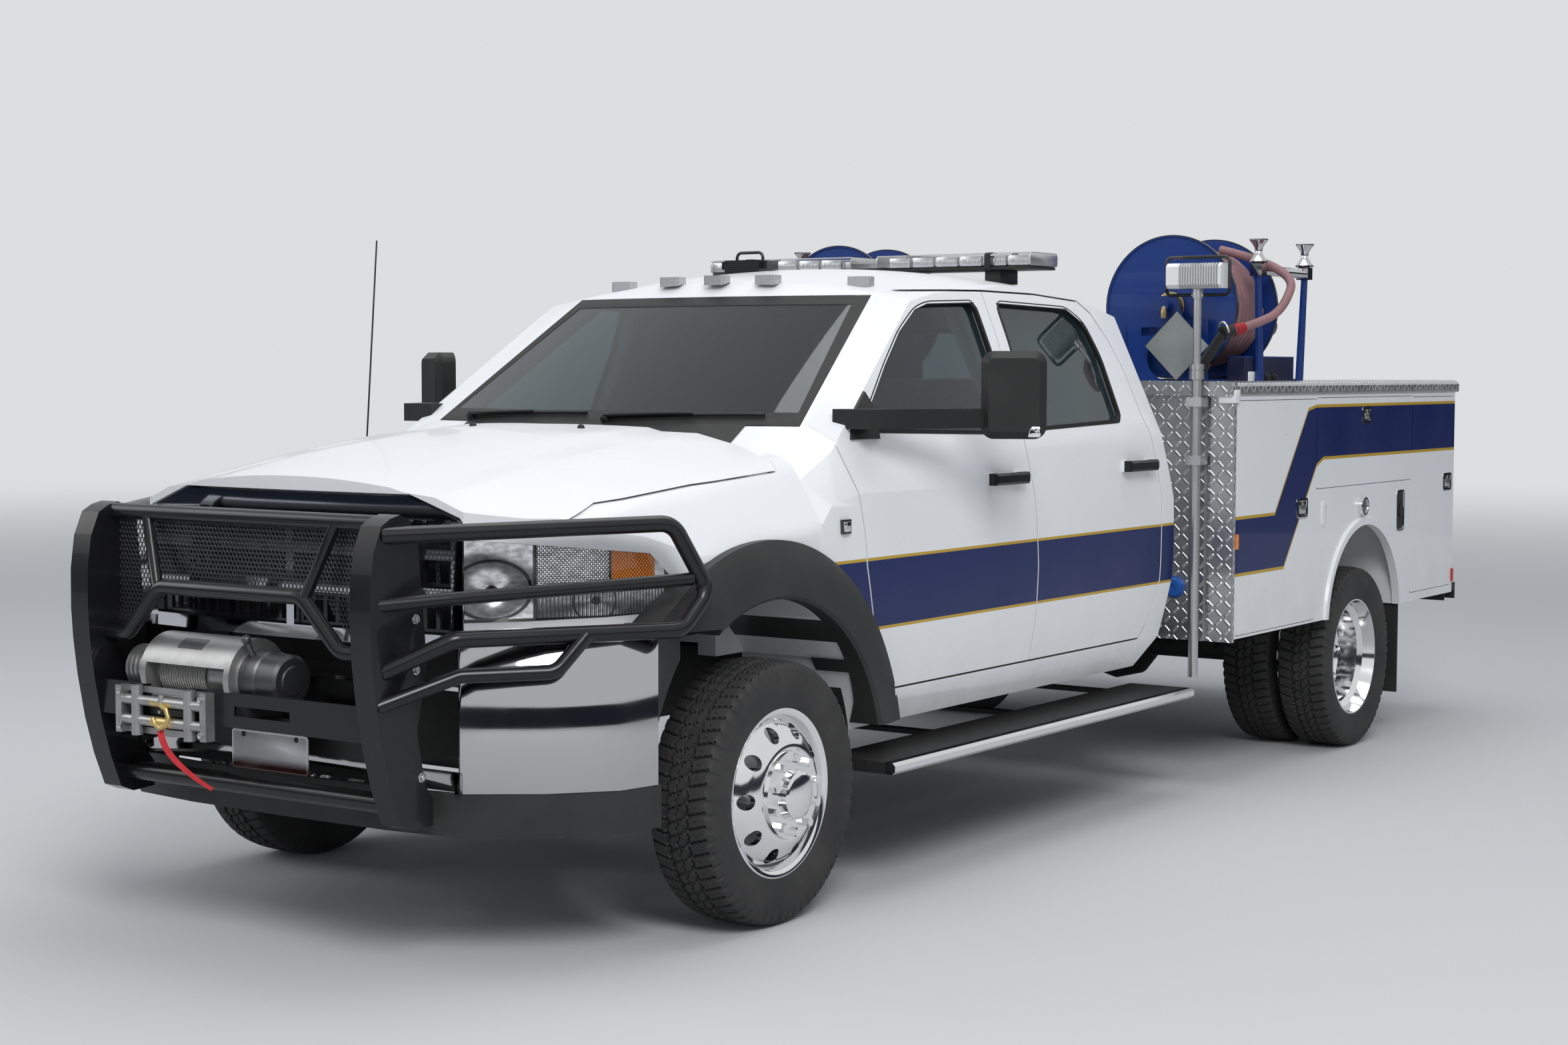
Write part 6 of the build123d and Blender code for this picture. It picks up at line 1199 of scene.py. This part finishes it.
bar_parts.append(piece("bar_lens", cover, lamp_glass, "body", angle=40))
ends = Shape()
for x0, x1, top in ((-745, -736, 2132), (736, 745, 2132), (-64, -58, 2131), (58, 64, 2131)):
    ends.side(rounded(corners(2111, 2329, 2081, top - 0.5), 15, 4), x0, x1)
bar_parts.append(piece("bar_ends", ends, alloy, "body", bevel=1.5))
for part in bar_parts:
    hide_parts("light_bar")
straps = Shape()
for x in (-BAR_FOOT_X, BAR_FOOT_X):
    straps.sleeve(rounded(corners(2108, 2332, 2066, 2134), 17, 4), x - 13, x + 13, 1.9)
piece("bar_straps", straps, seal, "body", angle=40)

# Mirrors
bowl_look = Look("lamp_bowl", (0.82, 0.83, 0.84), 0.08, 1.0)
bowl_look.bump(bowl_look.cells(60, 0.3), 0.35, 0.004)
bowl_look.gloss(bowl_look.noise(9, 3), 0.06, 0.14)
mirror_look = Look("mirror_glass", (0.62, 0.66, 0.68), 0.03, 1.0)
mirror_look.bump(mirror_look.noise(2, 1), 0.02, 0.004)
mirror_look.gloss(mirror_look.noise(7, 5), 0.02, 0.05)
MIRROR_MIDDLE = Vector((1273, 1033, 1603))
turn = Matrix.Rotation(math.radians(30), 4, "Z")
back_way = turn @ Vector((0, 1, 0))
housing = found(["left_mirror"], MIRROR_MIDDLE + back_way * 200, -back_way)
glass_y = (housing - MIRROR_MIDDLE).dot(back_way) + 0.4
panes = Shape()
for z0, z1 in ((-36, 129), (-129, -46)):
    panes.front(rounded(corners(-93, 93, z0, z1), 24, 5), glass_y, glass_y + 2.6)
panes.moved(MIRROR_MIDDLE, turn)
lamp_patch = Shape().front(rounded([(44, -138), (88, -138), (88, -104), (56, -104)], 8, 3), -40.6, -36.0)
lamp_patch.moved(MIRROR_MIDDLE, turn)
for side, sign in SIDES:
    for name, shape, look, slot, bevel in (("glass", panes, mirror_look, "chrome", 0.8),
                                           ("lamp", lamp_patch, bowl_look, "lamp_plastic", 1.2)):
        piece(f"{side}_mirror_{name}", shape.for_side(sign), look.material, f"{side}_front_door",
              bevel=bevel)

# Hose wound on the reels, with hub fittings
REEL_X, REEL_Z = 820, 1948


def wound_hose(x_axis):
    turns, per = 10, 40
    start, end, radius = 3217, 3572, 226
    line = []
    for k in range(turns * per + 1):
        t = k / per
        a = 2 * math.pi * t
        y = start + (end - start) * t / turns
        line.append((x_axis + radius * math.cos(a), y, REEL_Z + radius * math.sin(a)))
    return Shape().tube(line, 17.8, 10)


for side, sign in SIDES:
    x = sign * REEL_X
    piece(f"{side}_wound_hose", wound_hose(x), hose_rubber, f"{side}_reel", angle=60)
    hub = Shape().turned((x, 3186, REEL_Z), (0, -1, 0),
                         [(0, 62), (5, 62), (6, 60), (6, 46), (18, 44), (20, 31), (30, 31)], 32)
    for k in range(6):
        a = 2 * math.pi * k / 6
        bolt = (x + 53 * math.cos(a), 3181, REEL_Z + 53 * math.sin(a))
        hub.turned(bolt, (0, -1, 0), [(0, 6), (4, 6), (5, 0.5)], 6)
    piece(f"{side}_reel_hub", hub, brass, f"{side}_reel", angle=40)
    elbow = [(x, 3160, 1948), (x, 3136, 1948), (x, 3122, 1940), (x, 3119, 1922), (x, 3119, 1900)]
    piece(f"{side}_swivel", Shape().tube(elbow, 13, 14), brass, "body", angle=50)

# The free hose's coupling and nozzle bail
before, tip = [Vector(p) for p in HOSE_POINTS[-2:]]
away = (tip - before).normalized()
profile = []
for k in range(13):
    profile += [(k * 4.0, 24.5 if k % 2 else 22.0), (k * 4.0 + 2.6, 24.5 if k % 2 else 22.0)]
coupling = piece("hose_coupling", Shape().turned(tip - away * 62, away, profile, 28), red_ring, "body",
                 angle=30)
side_way = away.cross(Vector((0, 0, 1))).normalized()
lift = side_way.cross(away).normalized()
nozzle_middle = tip + away * 40
path = [nozzle_middle + side_way * 28 * math.cos(a) + lift * 44 * math.sin(a)
        for a in np.linspace(0, math.pi, 15)]
nozzle_bail = piece("nozzle_bail", Shape().tube(path, 4.5, 10), alloy, "body", angle=60)
tuple(at(*HOSE_POINTS[0]))
round(curve_length(free_hose), 4)

# Winch rope and blank label
WINCH_Y, WINCH_Z = -1150, 798.3
ROPE_TURNS, ROPE_RADIUS, PER_TURN = 19, 71, 24
rope = []
for k in range(ROPE_TURNS * PER_TURN + 1):
    t = k / PER_TURN
    a = 2 * math.pi * t
    y, z = WINCH_Y + ROPE_RADIUS * math.cos(a), WINCH_Z + ROPE_RADIUS * math.sin(a)
    rope.append((-310 + 193 * t / ROPE_TURNS, y, z))
wound_rope = Shape().tube(rope, 4.9, 8)
wound_rope.tube([(-236, -1160, 727.5), (-238, -1205, 716), (-240, -1244, 703), (-240, -1288, 694)], 4.6, 8)
piece("winch_rope", wound_rope, wire_rope, "body", angle=60)
turns = [math.radians(a + 90) for a in np.linspace(24, 46, 9)]
rows = [[(x, WINCH_Y + 114.8 * math.cos(a), WINCH_Z + 114.8 * math.sin(a)) for a in turns]
        for x in np.linspace(-222, -120, 7)]
piece("winch_label", Shape().grid(rows), label_paint, "body", angle=60)


# Body hardware
def latch(y, z, body, wide=118, high=86):
    x = from_side([f"left_{body}"], y, z).x
    y0, y1, z0, z1 = y - wide / 2, y + wide / 2, z - high / 2, z + high / 2
    outline = rounded(corners(y0, y1, z0, z1), 18, 5)
    levels = ((x - 0.5, 0), (x + 3, 0), (x + 3.4, -4), (x + 3.0, -13), (x + 0.4, -15))
    bezel = Shape().grid(rings(outline, levels), around=True)
    cup = Shape().side(outward(outline, -14), x - 0.2, x + 0.5)
    paddle = Shape().side(rounded(corners(y0 + 22, y1 - 22, z0 + 20, z1 - 30), 8, 4), x + 0.3, x + 3.6)
    paddle.turned((x + 0.3, y, z1 - 22), (1, 0, 0), [(0, 8), (3.4, 8), (4, 6), (4, 0.5)], 20)
    for side, sign in SIDES:
        for part, shape, stuff, slot, bevel in (("bezel", bezel, chrome, "chrome", 0),
                                                ("cup", cup, seal, "black_plastic", 0),
                                                ("paddle", paddle, alloy, "chrome", 0.5)):
            piece(f"{side}_{body}_{part}", shape.for_side(sign), stuff, f"{side}_{body}", bevel=bevel)


latch(3715, 1104, "front_hatch")
latch(4449, 1490, "middle_hatch", 104, 74)
latch(5533, 1151, "rear_hatch")

trims = Shape()
spot = from_side(["service_body", "lamps"], REAR_AXLE_Y, 1083)
lamp_ring = [(0, 44), (3, 44), (6, 40), (6, 33), (2, 31)]
trims.turned((spot.x - 1, REAR_AXLE_Y, 1083), (1, 0, 0), lamp_ring, 40, cap=False)
spot = from_side(["service_body"], 3956, 1070)
oblong = Shape().side(rounded(corners(3930, 3982, 1016, 1124), 26, 6), spot.x - 0.5, spot.x + 3.5)
for z in (1034, 1106):
    oblong.turned((spot.x + 3, 3956, z), (1, 0, 0), [(0, 6), (1.6, 5), (1.6, 0.5)], 12)
piece("oblong_covers", oblong.mirror(), white_paint, "body", bevel=0.8)
x = from_side(["service_body"], 4896, 1041).x
outline = rounded(corners(4846, 4946, 946, 1136), 26, 6)
trims.grid(rings(outline, ((x - 0.5, 0), (x + 3, 0), (x + 3, -9), (x + 0.4, -11))), around=True)
well = Shape().side(outward(outline, -10), x - 0.2, x + 0.5)
well.turned((x + 0.4, 4896, 1041), (1, 0, 0), [(0, 30), (6, 30), (7, 27), (7, 0.5)], 28)
piece("filler_wells", well.mirror(), seal, "body", angle=35)
nose = found(["service_body", "tread_plates"], (1150, 2500, 1200), (0, 1, 0)).y
flank = from_side(["service_body", "tread_plates"], nose + 30, 1300).x
trims.box(flank - 0.4, flank + 2.4, nose + 6, nose + 16, 640, 1560)
cap = Shape().box(flank - 60, flank + 8, nose - 6, nose + 52, 1604.5, 1609)
cap.box(flank + 4, flank + 9, nose - 6, nose + 52, 1556, 1609)
cap.box(flank - 60, flank + 8, nose - 8, nose - 3, 1556, 1609)
piece("corner_caps", cap.mirror(), white_paint, "body", bevel=2)
trims.mirror()
board = found(["tread_plates", "service_body"], (948, 2700, 809), (0, 1, 0))
blue_cap = Shape().turned((948, board.y - 0.5, 809), (0, -1, 0), [
    (0, 44), (8, 44), (10, 40), (26, 38), (30, 34), (30, 14), (26, 12), (26, 0.5)], 28)
piece("blue_cap", blue_cap, cap_blue, "body", angle=40)
piece("body_trims", trims, chrome, "body", angle=35)
labels = Shape()
knobs = Shape()
knob = [(0, 17), (5, 17), (6, 12), (18, 11), (20, 9), (20, 0.5)]
x = from_side(["reel_frames"], 3500, 1660).x
for way in (1, -1):
    labels.box(way * (x - 0.3), way * (x + 1.4), 3300, 3400, 1634, 1682)
    for y in (3480, 3560):
        knobs.turned((way * (x - 0.5), y, 1660), (way, 0, 0), knob, 24)
piece("box_labels", labels, white_paint, "body", bevel=0.5)
piece("box_knobs", knobs, plastic, "body", angle=40)
spot = found(["lamps", "fenders"], (1400, 427, 1189), (-1, 0, 0))
lens_shape = Shape().side(rounded(corners(407, 447, 1173, 1205), 8, 4), spot.x - 0.4, spot.x + 2.2)
piece("fender_lenses", lens_shape.mirror(), bowl_look.material, "body", bevel=0.8)


# Stage and light
BACKDROP = (0.80, 0.81, 0.82)
BACKDROP_STRENGTH = 0.9


def seen_rays(tree):
    """1 for rays from the camera, from glossy surfaces and through glass."""
    path = node(tree, "ShaderNodeLightPath")
    seen = path.outputs["Is Camera Ray"]
    for ray in ("Is Glossy Ray", "Is Transmission Ray"):
        seen = node(tree, "ShaderNodeMath", (seen, path.outputs[ray]), operation="MAXIMUM").outputs[0]
    return seen


def stage_piece(name, points, faces, color, fading=False):
    """Floor or wall in one dull colour, which may fade to the backdrop's brightness far away."""
    material = bpy.data.materials.new(name)
    tree = cleared(material)
    surface = node(tree, "ShaderNodeBsdfDiffuse", (color,))
    if fading:
        glow = node(tree, "ShaderNodeEmission", (BACKDROP, BACKDROP_STRENGTH))
        place = node(tree, "ShaderNodeTexCoord").outputs["Object"]
        size = node(tree, "ShaderNodeVectorMath", (place,), operation="LENGTH")
        away_from_truck = (size.outputs["Value"], 6.0, 30.0)
        fade = node(tree, "ShaderNodeMapRange", away_from_truck, interpolation_type="SMOOTHSTEP")
        amount = node(tree, "ShaderNodeMath", (fade.outputs[0], seen_rays(tree)), operation="MULTIPLY")
        surface = node(tree, "ShaderNodeMixShader", [n.outputs[0] for n in (amount, surface, glow)])
    node(tree, "ShaderNodeOutputMaterial", (surface.outputs[0],))
    mesh = bpy.data.meshes.new(name)
    mesh.from_pydata(points, [], faces)
    mesh.materials.append(material)
    obj = placed(name, mesh)
    return obj


stage_piece("floor", [(x, y, 0) for x, y in corners(-60, 60, -60, 60)], [(0, 1, 2, 3)], (0.60, 0.60, 0.60),
            fading=True)

# A dark low wall far round the truck, which only polished surfaces show
WALL_RADIUS, WALL_HEIGHT = 17, 3.2
wall_points = [(WALL_RADIUS * math.cos(a), WALL_RADIUS * math.sin(a), z)
               for a in np.linspace(0, 2 * math.pi, 65) for z in (0.0, WALL_HEIGHT)]
far_wall = stage_piece("far_wall", wall_points, [(2 * i, 2 * i + 2, 2 * i + 3, 2 * i + 1) for i in range(64)],
                       (0.035, 0.04, 0.05))
for ray in ("camera", "diffuse", "shadow", "transmission"):
    setattr(far_wall, f"visible_{ray}", False)

world = bpy.data.worlds.new("studio")
bpy.context.scene.world = world
tree = cleared(world)
light = node(tree, "ShaderNodeBackground", ((0.86, 0.92, 1.0), 0.55))
shown = node(tree, "ShaderNodeBackground", (BACKDROP, BACKDROP_STRENGTH))
mix = node(tree, "ShaderNodeMixShader", (seen_rays(tree), light.outputs[0], shown.outputs[0]))
node(tree, "ShaderNodeOutputWorld", (mix.outputs[0],))

# Each lamp is its name, place, target, size and power
LAMPS = [("key", (7.5, -9.0, 8.5), (0.2, -0.6, 0.9), 5.0, 740),
         ("fill", (-9.0, -7.0, 6.0), (0, 0, 1), 6.0, 210),
         ("top", (0.5, 0.5, 9.0), (0, 0, 0), 7.0, 250)]
for name, place, target, size, power in LAMPS:
    data = bpy.data.lights.new(name, "AREA")
    data.shape = "DISK"
    data.size = size
    data.energy = power
    obj = placed(name, data)
    obj.location = place
    obj.rotation_euler = (Vector(target) - Vector(place)).to_track_quat("-Z", "Y").to_euler()

bpy.context.scene.view_settings.view_transform = "Standard"
